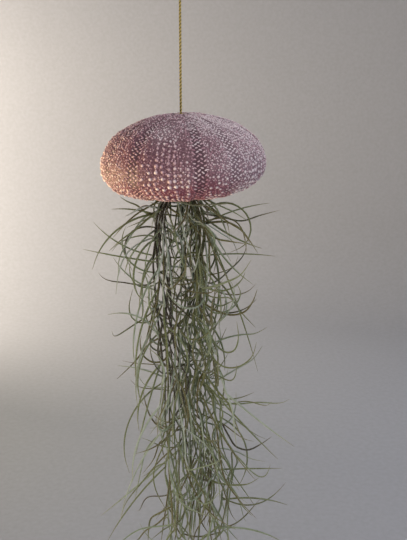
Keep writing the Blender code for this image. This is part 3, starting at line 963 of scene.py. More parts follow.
@dataclass
class HangingCord:
    """The gold cord with its hanging loop, the knot under the loop and the knot under the bead."""

    cord: TwistedCord = field(default_factory=TwistedCord)
    bottom_z: float = -120 * MM
    knot_top_z: float = -25 * MM
    knot_turns: float = 2.5
    loop_half_width: float = 5 * MM
    loop_side: tuple[Pair, ...] = ((0.5, 0.17), (1.0, 0.52), (0.78, 0.87))
    loop_return: float = 0.3  # how far the end swings out again, as a share of the half width
    loop_steps: int = 20
    stopper_turns: float = 2.0
    coil_steps: int = 24
    exit_z: float = TIE_TOP_Z
    path_step: float = 2.5 * MM

    def route(self) -> list[Vector]:
        """The middle line: up the axis through the knot, round the loop and back to the knot.

        loop_side gives the loop's way up, in shares of its half width and of its height.

        Returns:
            The line's points.
        """
        top = self.cord.diameter / 2
        knot_z = self.knot_top_z
        wide = self.loop_half_width
        side = self.cord.diameter + GAP
        up = [(out * wide, 0, knot_z + rise * (top - knot_z)) for out, rise in self.loop_side]
        down = [(-x, y, z) for x, y, z in reversed(up)][:-1]
        loop = [
            (0, 0, knot_z),
            *up,
            (0, 0, top),
            *down,
            (-side - self.loop_return * wide, 0, up[0][2]),
            (-side, 0, knot_z + GAP),
        ]
        return [Vector((0, 0, self.bottom_z)), *drawn_finely(loop, self.loop_steps)]

    def coil(self, turns: float, top_z: float) -> list[Vector]:
        """The middle line of a few turns wound round the cord, from a height down."""
        pitch = self.cord.diameter + GAP
        return wound(pitch, pitch, turns, top_z - self.cord.diameter / 2, self.coil_steps)

    def build(self, bead_bottom_z: float) -> None:
        """Make the cord and its knots.

        Args:
            bead_bottom_z: the underside of the bead that the lower knot stops.
        """
        yarn = MetallisedYarn().make()
        route = self.route()
        cord = self.cord.strands(route).make("gold_cord_strands", yarn)
        place_piece(cord, "gold_cord", "gold_cord")
        loop_knot = self.cord.strands(self.coil(self.knot_turns, self.knot_top_z - GAP))
        loop_knot_piece = loop_knot.make("loop_knot_wraps", yarn)
        place_piece(loop_knot_piece, "gold_cord", "loop_knot")
        stopper = self.cord.strands(self.coil(self.stopper_turns, bead_bottom_z - GAP))
        stopper_piece = stopper.make("stopper_knot_wraps", yarn)
        place_piece(stopper_piece, "gold_cord", "stopper_knot")
        round(length_of(route), 4)
        [tuple(point) for point in evenly_along(route, self.path_step)]


@dataclass
class StopperBead:
    """A drilled wooden bead, seated just under the rim of the shell's hole."""

    radius: float = 6 * MM
    bore: float = CORD_DIAMETER / 2 + GAP
    seat_z: float = SHELL_TOP_Z - SHELL_WALL
    hole_radius: float = HOLE_RADIUS
    columns: int = 64
    rows: int = 40
    bore_rows: int = 6

    @property
    def middle_z(self) -> float:
        """The height of the bead's middle."""
        return self.seat_z - math.sqrt((self.radius + GAP) ** 2 - self.hole_radius**2)

    @property
    def bottom_z(self) -> float:
        """The height of its underside, at the bore."""
        return self.middle_z - self.radius * math.cos(math.asin(self.bore / self.radius))

    def build(self) -> None:
        """Turn the bead and its bore."""
        edge = math.asin(self.bore / self.radius)
        section = []
        for row in range(self.rows + 1):
            angle = edge + (math.pi - 2 * edge) * row / self.rows
            section.append((self.radius * math.sin(angle), self.radius * math.cos(angle)))
        half = self.radius * math.cos(edge)
        for row in range(1, self.bore_rows):
            section.append((self.bore, -half + 2 * half * row / self.bore_rows))
        bearings = [math.tau * k / self.columns for k in range(self.columns)]
        points = [
            (r * math.cos(angle), r * math.sin(angle), self.middle_z + z)
            for r, z in section
            for angle in bearings
        ]
        bead = Patchwork()
        bead.add(np.array(points), ring_faces(len(section), self.columns))
        place_piece(bead.make("stopper_bead_turned", TurnedBeech().make()), "bead", "stopper_bead")


def ring_faces(rings: int, columns: int) -> Faces:
    """List the faces of a closed section turned round the axis, its rows running down outside.

    Args:
        rings: how many rows of points it has.
        columns: how many points a row has.

    Returns:
        The faces.
    """
    faces = []
    for row in range(rings):
        here, below = row * columns, (row + 1) % rings * columns
        for k in range(columns):
            side = (k + 1) % columns
            faces.append((here + k, below + k, below + side, here + side))
    return faces


@dataclass
class MossTie:
    """Three turns of brass wire round the butts of the moss, inside the shell."""

    wire: float = 1.0 * MM
    turns: float = 3.0
    top_z: float = TIE_TOP_Z
    turn_steps: int = 32
    sides: int = 12

    def build(self, bundle_radius: float) -> None:
        """Wind the wire.

        Args:
            bundle_radius: the radius of the bound butts.
        """
        radius = bundle_radius + GAP + self.wire / 2
        top_z = self.top_z - self.wire / 2
        line = wound(radius, self.wire + GAP, self.turns, top_z, self.turn_steps)
        tie = Patchwork()
        tie.add_tube(line, [self.wire / 2] * len(line), self.sides)
        place_piece(tie.make("moss_tie_wire", DrawnBrassWire().make()), "tie_wire", "moss_tie")


# -------- urchin shell


class Area(Enum):
    """The two kinds of field between the pore zones, with how many columns of knobs each has."""

    NARROW = 4
    WIDE = 8


class Spot(NamedTuple):
    """A soft-edged place on the wall: its bearing, its share of the way down, its size across
    the bearing in degrees and down the wall as a share, and how strong it is."""

    bearing: float
    share: float
    wide: float
    tall: float
    strength: float


CHALKY = (
    Spot(-47, 0.56, 15, 0.13, 1.0), Spot(-38, 0.74, 9, 0.06, 0.8), Spot(-8, 0.45, 26, 0.25, 0.75),
    Spot(-40, 0.2, 30, 0.14, 0.5), Spot(-106, 0.30, 12, 0.07, 0.75), Spot(-86, 0.64, 8, 0.07, 0.4),
    Spot(-56, 0.24, 14, 0.10, 0.6), Spot(110, 0.5, 26, 0.2, 0.5),
)  # fmt: skip
WINY = (
    Spot(-62, 0.77, 26, 0.08, 1.5), Spot(-95, 0.74, 26, 0.06, 0.55), Spot(-20, 0.80, 30, 0.07, 0.6),
    Spot(-128, 0.55, 14, 0.25, 0.25), Spot(60, 0.77, 40, 0.08, 0.6), Spot(150, 0.76, 40, 0.08, 0.6),
)  # fmt: skip
SCARS = (
    Spot(186, 0.40, 7, 0.05, 0.8), Spot(200, 0.76, 6, 0.03, 0.7), Spot(212, 0.83, 5, 0.03, 0.6),
    Spot(-64, 0.2, 5, 0.02, 0.4), Spot(20, 0.5, 8, 0.05, 0.5), Spot(95, 0.35, 9, 0.06, 0.6),
)  # fmt: skip


@dataclass(frozen=True)
class WallTints:
    """How strongly each colour lies on the wall, and over which shares of the way down."""

    grey: float = 0.6
    grey_to: Pair = (0.12, 0.5)
    chalk: float = 0.4
    # painted shade in the pore zones
    pores: float = 0.68
    pores_from: Pair = (0.1, 0.2)
    pores_to: Pair = (0.9, 0.97)
    hole: float = 0.8  # painted shade: the dark edge round the hole
    hole_to: Pair = (0.01, 0.05)
    # painted warm light near the mouth, and where it starts
    rim: float = 0.8
    rim_from: Pair = (0.84, 0.96)


@dataclass(frozen=True)
class GrainTints:
    """How the wall's colours show on the grains that stand on it."""

    chalk: float = 0.6
    upper: float = 0.2
    upper_to: Pair = (0.2, 0.5)
    # painted warm light on the grains near the mouth
    rim: float = 0.45
    pale_from: Pair = (0.75, 1.1)  # tones that hide the wine red
    pale_hides: float = 0.8


@dataclass(frozen=True)
class GrainRule:
    """What all grains of the wall have.

    form holds (radius, height) from the foot up to the tip, as shares of a grain's radius.
    """

    form: tuple[Pair, ...] = ()
    sides: int = 6
    tones: Pair = (0.0, 1.0)
    stain: float = 0.55  # how far they take the ground's wine red
    stretch: float = 1.0  # how many times longer than wide each is
    sector_slack: float = 0.0
    arc_slack: float = 0.0
    size_slack: Pair = (0.85, 1.15)


@dataclass(frozen=True)
class KnobRule(GrainRule):
    """How the large knobs start, grow and thin out, by their share of the way down.

    Radii are in millimetres.
    """

    form: tuple[Pair, ...] = (
        (1.3, -0.25), (1.0, 0.16), (0.72, 0.4), (0.4, 0.5), (0.3, 0.62), (0.0, 0.74),
    )  # fmt: skip
    sides: int = 10
    tones: Pair = (0.45, 0.85)
    stain: float = 0.1
    zone_room: float = 1.5  # kept clear beside a pore zone, in its half widths
    begins: float = 0.2
    edge_later: float = 0.3  # at the edges of an area
    later: float = 0.12  # in narrow areas, and in every other column
    ends: float = 0.955
    missing: float = 0.1
    grown_over: float = 0.3
    young_radius: float = 0.58
    growth: float = 0.32
    small: float = 0.75  # in the upper part of narrow areas
    small_to: float = 0.62
    shrink: float = 0.5  # near the mouth
    shrink_over: Pair = (0.8, 0.96)
    sector_slack: float = 0.005
    arc_slack: float = 0.15 * MM


@dataclass(frozen=True)
class GranuleRule(GrainRule):
    """How the small granules fill the wall. Radii are in millimetres."""

    form: tuple[Pair, ...] = ((1.15, -0.35), (0.75, 0.4), (0.0, 0.7))
    sides: int = 5
    tones: Pair = (0.0, 0.75)
    radii: tuple[float, ...] = (0.34, 0.4, 0.48, 0.56)
    row_pitch: float = 0.92 * MM
    pitch: float = 1.1 * MM  # within a row
    first_row: int = 2
    cell: float = 2.0 * MM  # of the grid that finds neighbours
    closeness: float = 0.8  # of two radii, from middle to middle
    knob_room: float = 1.2
    in_zone: float = 0.3  # how far they reach into a pore zone
    in_upper_zone: float = 0.5  # and how much further above the upper share
    upper: float = 0.2
    sector_slack: float = 0.006
    arc_slack: float = 0.2 * MM


@dataclass(frozen=True)
class RidgeRule(GrainRule):
    """How the short ridges lie between the pores. Radii are in millimetres."""

    form: tuple[Pair, ...] = ((1.1, -0.3), (0.85, 0.5), (0.0, 0.8))
    tones: Pair = (0.2, 0.8)
    pitch: float = 1.1 * MM
    begins: float = 0.13
    ends: float = 0.94
    columns: int = 4
    three_below: float = 0.75  # of the shell's width, where a zone has only three columns
    two_below: float = 0.45  # and where it has two
    spread: float = 2.3  # of all columns, in the zone's half widths
    least_radius: float = 0.24
    growth: float = 0.18
    stretch: float = 2.2
    slant: float = 28  # degrees
    slant_slack: float = 0.25  # radians
    sector_slack: float = 0.004
    arc_slack: float = 0.12 * MM


@dataclass
class UrchinShell:
    """The hollow shell: its wall, its knobs and granules, and the ridges between its pores."""

    top_z: float = SHELL_TOP_Z
    radius: float = 41.6 * MM
    upper_height: float = 25.4 * MM
    lower_height: float = 16.8 * MM
    squareness: float = 2.25
    wall: float = SHELL_WALL
    tilt: float = math.radians(-2)
    hole_radius: float = HOLE_RADIUS
    mouth_radius: float = 17 * MM
    dimple_width: float = 8 * MM
    dimple_depth: float = 1.5 * MM
    sectors: int = 5
    narrow_share: float = 5 / 14  # of a sector, from one pore zone to the next
    first_pore_zone: float = -77  # degrees
    bulge: float = 0.01
    columns: int = 420
    outer_rows: int = 150
    inner_rows: int = 16
    section_steps: int = 400
    fine_steps: int = 800
    rim_rows: int = 3
    rim_swell: float = 0.35  # of the wall
    zone_half_width: float = 0.056  # of a sector
    zone_edge: Pair = (0.7, 1.25)  # in its half widths
    pale_zone: float = 0.45  # of the dark of the others
    pale_zone_reach: float = 0.1  # of a sector
    pore_depth: float = 0.3 * MM
    lump: float = 0.24 * MM
    lump_waves: tuple[tuple[float, int, float, float], ...] = (
        (1.0, 3, 1.3, 5),
        (1.0, 7, -0.4, -9),
        (0.7, 13, 2.1, 14),
        (0.6, 22, 0.3, -23),
    )  # each one's size, waves round the shell, phase and turn on the way down
    rough: float = 0.09 * MM
    rough_lengths: Pair = (2 * MM, 9 * MM)
    rough_waves: int = 28
    scar_height: float = 0.8 * MM
    plate_height: float = 2.9 * MM
    plate_rise: float = 0.07 * MM
    relief_from: Pair = (0.03, 0.15)  # shares of the way down
    relief_to: Pair = (0.93, 1.0)
    rough_from: Pair = (0.0, 0.05)
    tints: WallTints = WallTints()
    grain_tints: GrainTints = GrainTints()
    knob_rule: KnobRule = KnobRule()
    granule_rule: GranuleRule = GranuleRule()
    ridge_rule: RidgeRule = RidgeRule()

    def __post_init__(self) -> None:
        """Draw the outer section once, finely, with its normals."""
        self.section = np.array([tuple(p) for p in self.profile(0.0, self.section_steps)])
        along = np.gradient(self.section, axis=0)
        across = np.stack([-along[:, 1], along[:, 0]], axis=1)
        self.normals = across / np.linalg.norm(across, axis=1, keepdims=True)
        steps = np.linalg.norm(np.diff(self.section, axis=0), axis=1)
        self.arcs = np.concatenate([[0], np.cumsum(steps)])
        self.length = float(self.arcs[-1])
        self.draw = random.Random(SHELL_SEED)
        waves = np.random.default_rng(SHELL_SEED)
        directions = waves.normal(size=(self.rough_waves, 3))
        directions /= np.linalg.norm(directions, axis=1, keepdims=True)
        lengths = waves.uniform(*self.rough_lengths, size=(self.rough_waves, 1))
        self.wave_vectors = math.tau * directions / lengths
        self.wave_phases = waves.uniform(0, math.tau, size=self.rough_waves)

    def profile(self, inset: float, count: int) -> list[Vector]:
        """Draw the section of the wall from the hole to the mouth.

        Args:
            inset: how far inside the outer surface it runs.
            count: how many even steps it takes.

        Returns:
            (radius, depth below the top) at each step.
        """
        radius = self.radius - inset
        upper = self.upper_height - inset
        lower = self.lower_height - inset
        power = 2 / self.squareness
        first = math.asin(self.hole_radius / radius)
        last = math.pi - math.asin((self.mouth_radius / radius) ** (1 / power))
        fine = []
        for k in range(self.fine_steps + 1):
            angle = first + (last - first) * k / self.fine_steps
            if angle < math.pi / 2:
                r, z = radius * math.sin(angle), upper * math.cos(angle)
            else:
                r = radius * math.sin(angle) ** power
                z = -lower * (-math.cos(angle)) ** power
                near_mouth = max(0.0, 1 - (r - self.mouth_radius) / self.dimple_width)
                z += self.dimple_depth * near_mouth**2
            fine.append(Vector((r, z - self.upper_height)))
        return evenly_along(fine, length_of(fine) / count)

    def in_zone(self, sector: Array | float) -> Array | float:
        """How much a place belongs to a pore zone, from 0 to 1.

        Args:
            sector: bearings, counted in sectors.

        Returns:
            The amount at each.
        """
        place = sector % 1
        near = np.minimum(np.minimum(place, 1 - place), np.abs(place - self.narrow_share))
        inner, outer = self.zone_edge
        return 1 - smoothstep(near, inner * self.zone_half_width, outer * self.zone_half_width)

    def relief(self, sector: Array, arc: Array) -> Array:
        """Find how far the outer wall stands out from its smooth form.

        Args:
            sector: the bearing, counted in sectors from the first pore zone.
            arc: the distance from the hole along the wall.

        Returns:
            The height in metres.
        """
        share = arc / self.length
        ends = band(share, self.relief_from, self.relief_to)
        groove = -self.pore_depth * self.in_zone(sector) * ends
        row = arc / self.plate_height + 0.5 * self.second_half(sector)
        plates = self.plate_rise * np.abs(np.sin(math.pi * row)) ** 0.5 * ends
        bearing = sector * math.tau / self.sectors
        lumps = sum(
            size * np.sin(count * bearing + phase + turn * share)
            for size, count, phase, turn in self.lump_waves
        )
        r = np.interp(arc, self.arcs, self.section[:, 0])
        z = np.interp(arc, self.arcs, self.section[:, 1])
        waves = np.sin(round_axis(r, bearing, z) @ self.wave_vectors.T + self.wave_phases)
        deep = self.rough * math.sqrt(2 / self.rough_waves) * smoothstep(share, *self.rough_from)
        rough = waves.sum(axis=-1) * deep
        scars = self.scar_height * self.amount(SCARS, sector, share) * ends
        return groove + plates + rough + scars + self.lump * lumps / 2 * ends

    def second_half(self, sector: Array) -> Array:
        """Whether a place is in the second half of its area, where plates lie half a step off.

        Args:
            sector: bearings, counted in sectors.

        Returns:
            True where it is.
        """
        place = sector % 1
        middle_narrow, middle_wide = self.narrow_share / 2, (1 + self.narrow_share) / 2
        in_narrow = place < self.narrow_share
        return np.where(in_narrow, place > middle_narrow, place > middle_wide)

    def amount(self, spots: Sequence[Spot], sector: Array, share: Array) -> Array:
        """Add up soft-edged spots at places on the wall.

        Args:
            spots: the spots.
            sector: bearings, counted in sectors.
            share: shares of the way from the hole to the mouth.

        Returns:
            The amount at each place, from 0 to 1.
        """
        bearing = self.first_pore_zone + sector * 360 / self.sectors
        total = np.zeros(np.broadcast(bearing, share).shape)
        for spot in spots:
            aside = ((bearing - spot.bearing + 180) % 360 - 180) / spot.wide
            down = (share - spot.share) / spot.tall
            total += spot.strength * np.exp(-(aside**2 + down**2) / 2)
        return np.clip(total, 0, 1)

    def surface(self, sector: Array, arc: Array) -> tuple[Array, Array]:
        """Find places on the outer wall.

        Args:
            sector: bearings, counted in sectors.
            arc: distances from the hole along the wall.

        Returns:
            The places, and the wall's outward normals there.
        """
        r = np.interp(arc, self.arcs, self.section[:, 0])
        z = np.interp(arc, self.arcs, self.section[:, 1])
        out_r = np.interp(arc, self.arcs, self.normals[:, 0])
        out_z = np.interp(arc, self.arcs, self.normals[:, 1])
        height = self.relief(sector, arc)
        place = sector % 1
        swell = np.cos(math.tau * (place - self.narrow_share / 2))
        r = r * (1 + self.bulge * swell * r / self.radius) + height * out_r
        z = z + height * out_z
        bearing = self.bearing(sector)
        return round_axis(r, bearing, z), round_axis(out_r, bearing, out_z)

    def bearing(self, sector: Array) -> Array:
        """Turn bearings counted in sectors into radians from +X."""
        return math.radians(self.first_pore_zone) + sector * math.tau / self.sectors

    def settle(self, points: Array) -> Array:
        """Tilt points of the upright shell and lower them to where it hangs."""
        turn = np.array(Matrix.Rotation(self.tilt, 3, "Y"))
        return points.reshape(-1, 3) @ turn.T + np.array([0, 0, self.top_z])

    def make_wall(self) -> Object:
        """Make the wall as one closed section turned round the axis.

        Returns:
            The piece.
        """
        sector = np.arange(self.columns) * self.sectors / self.columns
        outer_arc = np.linspace(0, self.length, self.outer_rows + 1)
        grid_sector, grid_arc = np.meshgrid(sector, outer_arc)
        outer, _ = self.surface(grid_sector, grid_arc)
        bearing = self.bearing(sector)
        inner = np.array([tuple(p) for p in self.profile(self.wall, self.inner_rows)])[::-1]
        swell = np.cos(math.tau * (sector % 1 - self.narrow_share / 2))
        inner_r = inner[:, :1] * (1 + self.bulge * swell[None] * inner[:, :1] / self.radius)
        inside = round_axis(inner_r, bearing, inner[:, 1:])
        mouth_rim = self.rim(outer[-2], outer[-1], inside[0])
        hole_rim = self.rim(inside[-2], inside[-1], outer[0])
        rows = np.concatenate([outer, mouth_rim, inside, hole_rim])
        count = len(rows)
        share = np.append(outer_arc / self.length, np.ones(count - len(outer)))
        is_inside = np.arange(count) >= len(outer) + len(mouth_rim)
        share_grid = np.repeat(share, self.columns)
        sector_grid = np.tile(sector, count)
        tints = self.tints
        # painted shade: the pore zones and the edge of the hole are darkened
        zones = self.darkness(sector_grid) * band(share_grid, tints.pores_from, tints.pores_to)
        hole_edge_shade = 1 - smoothstep(share_grid, *tints.hole_to)
        wall = Patchwork()
        wall.add(
            self.settle(rows),
            ring_faces(count, self.columns),
            top=tints.grey * (1 - smoothstep(share_grid, *tints.grey_to)),
            wine=self.amount(WINY, sector_grid, share_grid),
            chalk=tints.chalk * self.amount(CHALKY, sector_grid, share_grid),
            pores=np.maximum(tints.pores * zones, tints.hole * hole_edge_shade),
            # painted warm light near the mouth
            rim=tints.rim * smoothstep(share_grid, *tints.rim_from),
            inside=np.repeat(is_inside, self.columns),
        )
        return wall.make("urchin_shell_wall", DriedUrchinTest().make())

    def darkness(self, sector: Array) -> Array:
        """How dark the painted shade of the pore zones is: the second of the first sector's two is
        weathered pale.

        Args:
            sector: bearings, counted in sectors.

        Returns:
            The amount at each, from 0 to 1.
        """
        second = np.abs(sector % 1 - self.narrow_share) < self.pale_zone_reach
        pale = second & (sector % self.sectors < 1)
        return self.in_zone(sector) * np.where(pale, self.pale_zone, 1.0)

    def rim(self, before: Array, start: Array, end: Array) -> Array:
        """Round the wall's edge over.

        Args:
            before: the row of points before the edge.
            start: the edge's row.
            end: the row on the wall's other side.

        Returns:
            The rows between start and end.
        """
        out = start - before
        out /= np.linalg.norm(out, axis=1, keepdims=True)
        rows = []
        for k in range(1, self.rim_rows + 1):
            angle = math.pi * k / (self.rim_rows + 1)
            middle = start + (end - start) * (1 - math.cos(angle)) / 2
            rows.append(middle + self.rim_swell * self.wall * math.sin(angle) * out)
        return np.array(rows)

    def level(self, arc: Array | float) -> Array | float:
        """How wide the shell is at a distance down the wall, as a share of its widest."""
        return np.interp(arc, self.arcs, self.section[:, 0]) / self.radius

    def knob_spots(self) -> Array:
        """Set the large knobs out in a row on each plate.

        Returns:
            The sector, arc and radius of each.
        """
        rule = self.knob_rule
        spots = []
        edge = rule.zone_room * self.zone_half_width
        fields = [
            (Area.NARROW, edge, self.narrow_share - edge),
            (Area.WIDE, self.narrow_share + edge, 1 - edge),
        ]
        columns = [
            (area, column, start + first + (last - first) * (column + 0.5) / area.value)
            for start in range(self.sectors)
            for area, first, last in fields
            for column in range(area.value)
        ]
        rows = int(self.length / self.plate_height) + 1
        for area, column, sector in columns:
            outer = abs(2 * column + 1 - area.value) / area.value  # 0 in the middle
            half = float(self.second_half(np.array(sector)))
            narrow = area is Area.NARROW
            begins = rule.begins + rule.edge_later * outer + (rule.later if narrow else 0.0)
            if column % 2 == 1 - half:
                begins += rule.later
            for row in range(1, rows):
                arc = (row + 0.5 - 0.5 * half) * self.plate_height
                share = arc / self.length
                missing = self.draw.random() < rule.missing
                if missing or not begins < share < rule.ends:
                    continue
                grown = smoothstep(share, begins, begins + rule.grown_over)
                small = rule.small if narrow and share < rule.small_to else 1.0
                mouth = 1 - rule.shrink * smoothstep(share, *rule.shrink_over)
                radius = (rule.young_radius + rule.growth * grown) * small * mouth * MM
                spots.append(
                    (
                        sector + self.draw.gauss(0, rule.sector_slack),
                        arc + self.draw.gauss(0, rule.arc_slack),
                        radius * self.draw.uniform(*rule.size_slack),
                    )
                )
        return np.array(spots)

    def granule_spots(self, knobs: Array) -> Array:
        """Fill the room between the knobs and the pore zones with small granules.

        Args:
            knobs: the large knobs' sectors, arcs and radii.

        Returns:
            The sector, arc and radius of each granule.
        """
        rule = self.granule_rule
        cell = rule.cell
        taken: dict[tuple[int, int], list[tuple[float, float, float]]] = defaultdict(list)
        sector_length = math.tau * self.radius / self.sectors

        def flat(sector: float, arc: float) -> Pair:
            """Where a place is on the unrolled wall, near its own latitude."""
            return sector % self.sectors * sector_length * self.level(arc), arc

        def crowded(x: float, y: float, radius: float) -> bool:
            """Whether another knob or granule stands in the way.

            Args:
                x: its place across the unrolled wall.
                y: its place down it.
                radius: its radius.

            Returns:
                True where one does.
            """
            cx, cy = int(x // cell), int(y // cell)
            return any(
                math.hypot(x - ox, y - oy) < rule.closeness * (radius + size)
                for dx in (-1, 0, 1)
                for dy in (-1, 0, 1)
                for ox, oy, size in taken.get((cx + dx, cy + dy), ())
            )

        for sector, arc, radius in knobs:
            x, y = flat(sector, arc)
            taken[(int(x // cell), int(y // cell))].append((x, y, rule.knob_room * radius))
        spots = []
        pitch = rule.row_pitch
        for row in range(rule.first_row, int(self.length / pitch)):
            around = math.tau * self.radius * self.level(pitch * row)
            count = int(around / rule.pitch)
            for k in range(count):
                sector = self.sectors * (k + 0.5 * (row % 2)) / count
                sector += self.draw.gauss(0, rule.sector_slack)
                arc = pitch * row + self.draw.gauss(0, rule.arc_slack)
                radius = self.draw.choice(rule.radii) * MM
                reach = rule.in_zone + rule.in_upper_zone * (arc < rule.upper * self.length)
                if self.in_zone(sector) > reach:
                    continue
                x, y = flat(sector, arc)
                if crowded(x, y, radius):
                    continue
                taken[(int(x // cell), int(y // cell))].append((x, y, radius))
                spots.append((sector, arc, radius))
        return np.array(spots)

    def add_domes(
        self, patch: Patchwork, spots: Array, rule: GrainRule, slants: Array | float = 0.0
    ) -> None:
        """Raise a small turned form on each spot.

        Args:
            patch: what gathers the faces.
            spots: the sector, arc and radius of each.
            rule: what they are like.
            slants: how far each one's long way is turned from level, in radians.
        """
        section, sides = rule.form, rule.sides
        sector, arc, radius = spots.T
        share = arc / self.length
        centres, normals = self.surface(sector, arc)
        down = np.array([0.0, 0.0, -1.0])
        level = np.cross(normals, down)
        level /= np.maximum(np.linalg.norm(level, axis=1, keepdims=True), TINY)
        steep = np.cross(normals, level)
        turn = np.broadcast_to(slants, len(spots))[:, None]
        first = np.cos(turn) * level + np.sin(turn) * steep
        second = np.cross(normals, first)
        angles = np.arange(sides) * math.tau / sides
        faces = tube_faces(len(section) - 1, sides)[: (len(section) - 2) * sides]
        tip = (len(section) - 1) * sides
        last = tip - sides
        faces += [(last + k, last + (k + 1) % sides, tip) for k in range(sides)]
        tallest = section[-1][1]
        wide = np.array([w for w, _ in section[:-1]])[:, None]
        high = np.repeat([h for _, h in section[:-1]], sides)[:, None]
        along = (rule.stretch * wide * np.cos(angles)).reshape(-1, 1)
        aside = (wide * np.sin(angles)).reshape(-1, 1)
        grades = np.append(np.clip(high[:, 0] / tallest, 0, 1), 1.0)
        tints = self.grain_tints
        chalk = self.amount(CHALKY, sector, share)
        wine = rule.stain * self.amount(WINY, sector, share)
        # painted warm light on the grains near the mouth
        rim = tints.rim * smoothstep(share, *self.tints.rim_from)
        upper = 1 - smoothstep(share, *tints.upper_to)
        for k in range(len(spots)):
            sides_up = along * first[k] + aside * second[k] + high * normals[k]
            top = (tallest * normals[k])[None]
            points = centres[k] + radius[k] * np.concatenate([sides_up, top])
            tone = self.draw.uniform(*rule.tones)
            tone += tints.chalk * chalk[k] + tints.upper * upper[k]
            pale = smoothstep(tone, *tints.pale_from)
            patch.add(
                self.settle(points),
                faces,
                height=grades,
                tone=tone,
                wine=wine[k] * (1 - tints.pale_hides * pale),
                rim=rim[k],
            )

    def make_knobs(self) -> Object:
        """Make the large knobs, each with its skirt, boss and nipple.

        Returns:
            The piece.
        """
        self.knobs = self.knob_spots()
        patch = Patchwork()
        self.add_domes(patch, self.knobs, self.knob_rule)
        log.info("large knobs: %d", len(self.knobs))
        return patch.make("urchin_shell_knobs", WornTubercle().make())

    def make_granules(self) -> Object:
        """Make the small granules between the knobs.

        Returns:
            The piece.
        """
        patch = Patchwork()
        spots = self.granule_spots(self.knobs)
        self.add_domes(patch, spots, self.granule_rule)
        log.info("granules: %d", len(spots))
        return patch.make("urchin_shell_granules", WornTubercle(name="granule calcite").make())

    def make_ridges(self) -> Object:
        """Make the short slanting ridges between the pores, so that the pores show as a lattice.

        Returns:
            The piece.
        """
        rule = self.ridge_rule
        zones = [float(k) for k in range(self.sectors)]
        zones += [k + self.narrow_share for k in range(self.sectors)]
        first = int(rule.begins * self.length / rule.pitch)
        last = int(rule.ends * self.length / rule.pitch)
        spots, slants = [], []
        for zone, row in itertools.product(zones, range(first, last)):
            arc = rule.pitch * row
            level = self.level(arc)
            shown = rule.columns - (level <= rule.three_below) - (level <= rule.two_below)
            for column in range(shown):
                if (column + row) % 2:
                    continue
                aside = (column - (shown - 1) / 2) / rule.columns * rule.spread
                sector = zone + aside * self.zone_half_width
                sector += self.draw.gauss(0, rule.sector_slack)
                size = self.draw.uniform(*rule.size_slack)
                radius = (rule.least_radius + rule.growth * level) * size * MM
                spots.append((sector, arc + self.draw.gauss(0, rule.arc_slack), radius))
                slant = math.radians(rule.slant if column % 2 else -rule.slant)
                slants.append(slant + self.draw.gauss(0, rule.slant_slack))
        patch = Patchwork()
        self.add_domes(patch, np.array(spots), rule, np.array(slants))
        return patch.make("urchin_shell_pore_ridges", WornTubercle(name="ridge calcite").make())

    def build(self) -> None:
        """Make all the shell's pieces."""
        pieces = [
            place_piece(self.make_wall(), "shell", "urchin_shell"),
            place_piece(self.make_knobs(), "shell"),
            place_piece(self.make_granules(), "shell"),
            place_piece(self.make_ridges(), "shell"),
        ]
        for piece in pieces:
            lit_by_shell_lamps().objects.link(piece)

    def holds(self, point: Vector, margin: float) -> bool:
        """Whether a point lies in the shell or within a margin of it, and not in its mouth.

        Args:
            point: the point.
            margin: how near still counts.

        Returns:
            True where it does.
        """
        untilt = Matrix.Rotation(-self.tilt, 3, "Y")
        x, y, z = untilt @ (point - Vector((0, 0, self.top_z)))
        above_waist = z + self.upper_height
        r = math.hypot(x, y)
        if above_waist < 0 and r < self.mouth_radius - margin:
            return False
        height = self.upper_height if above_waist > 0 else self.lower_height
        across = r / (self.radius + margin)
        return across**2 + (above_waist / (height + margin)) ** 2 < 1


# -------- moss


class Look(NamedTuple):
    """How a group's felt has aged, and how much painted light falls on its leaves under the mouth.

    silvered makes all of it paler. Its next amount is painted light, which makes its leaves under
    the mouth paler still. browned is how brown it is above the height browned_to.
    """

    silvered: float
    crown_light: float
    browned: float
    browned_to: float


class Group(NamedTuple):
    """Stems that hang together.

    sector is the bearing of their butts in the tie, in degrees. route holds the group's middle as
    (x, y) in millimetres, at the free top and every route step below. ends holds the height of
    each stem's tip in millimetres.
    """

    sector: float
    route: tuple[Pair, ...]
    ends: tuple[float, ...]
    look: Look


GROUPS = {
    "left": Group(
        210,
        (
            (-10.5, -5), (-11, -6), (-8.5, -7), (-4.5, -8), (-3.5, -8),
            (-4, -7), (-4, -7), (-5, -7), (-6, -6), (-7, -5),
        ),
        (-322, -250, -338, -282, -304, -330),
        Look(-0.05, 0.35, 1.15, -262 * MM),
    ),
    "middle": Group(
        90,
        (
            (4, 8), (4, 9), (4.5, 9), (3, 9), (2, 9),
            (5, 9), (8, 9), (9, 9), (8, 8), (8, 8),
        ),
        (-326, -296, -262, -338, -312, -284),
        Look(0.0, 0.35, 0.75, -205 * MM),
    ),
    "right": Group(
        330,
        (
            (9.5, -5), (9.5, -6), (10, -6), (13, -5), (15, -4),
            (17, -3), (18, -3), (19.5, -4), (22, -3), (23, -3),
        ),
        (-292, -334, -316, -248, -338, -306),
        Look(-0.04, 0.0, 0.3, -170 * MM),
    ),
}  # fmt: skip


class Growth(NamedTuple):
    """Ranges for a leaf's rise, turn and length, and its largest sweep.

    A turn that starts below 0 is drawn as it is, and any other goes up or down by chance.
    """

    rise: Pair
    turn: Pair
    length: Pair
    sweep: float


class Habit(Enum):
    """How leaves grow, by their height in the bunch."""

    CROWNING = Growth((-62, 25), (-100, 30), (26, 45), 70)
    FOUNTAIN = Growth((-65, 30), (-190, -50), (28, 46), 90)
    CURLING = Growth((-80, 20), (90, 230), (30, 48), 110)
    HANGING = Growth((-86, -58), (0, 60), (38, 60), 70)
    STRAYING = Growth((-65, -10), (20, 110), (30, 48), 80)


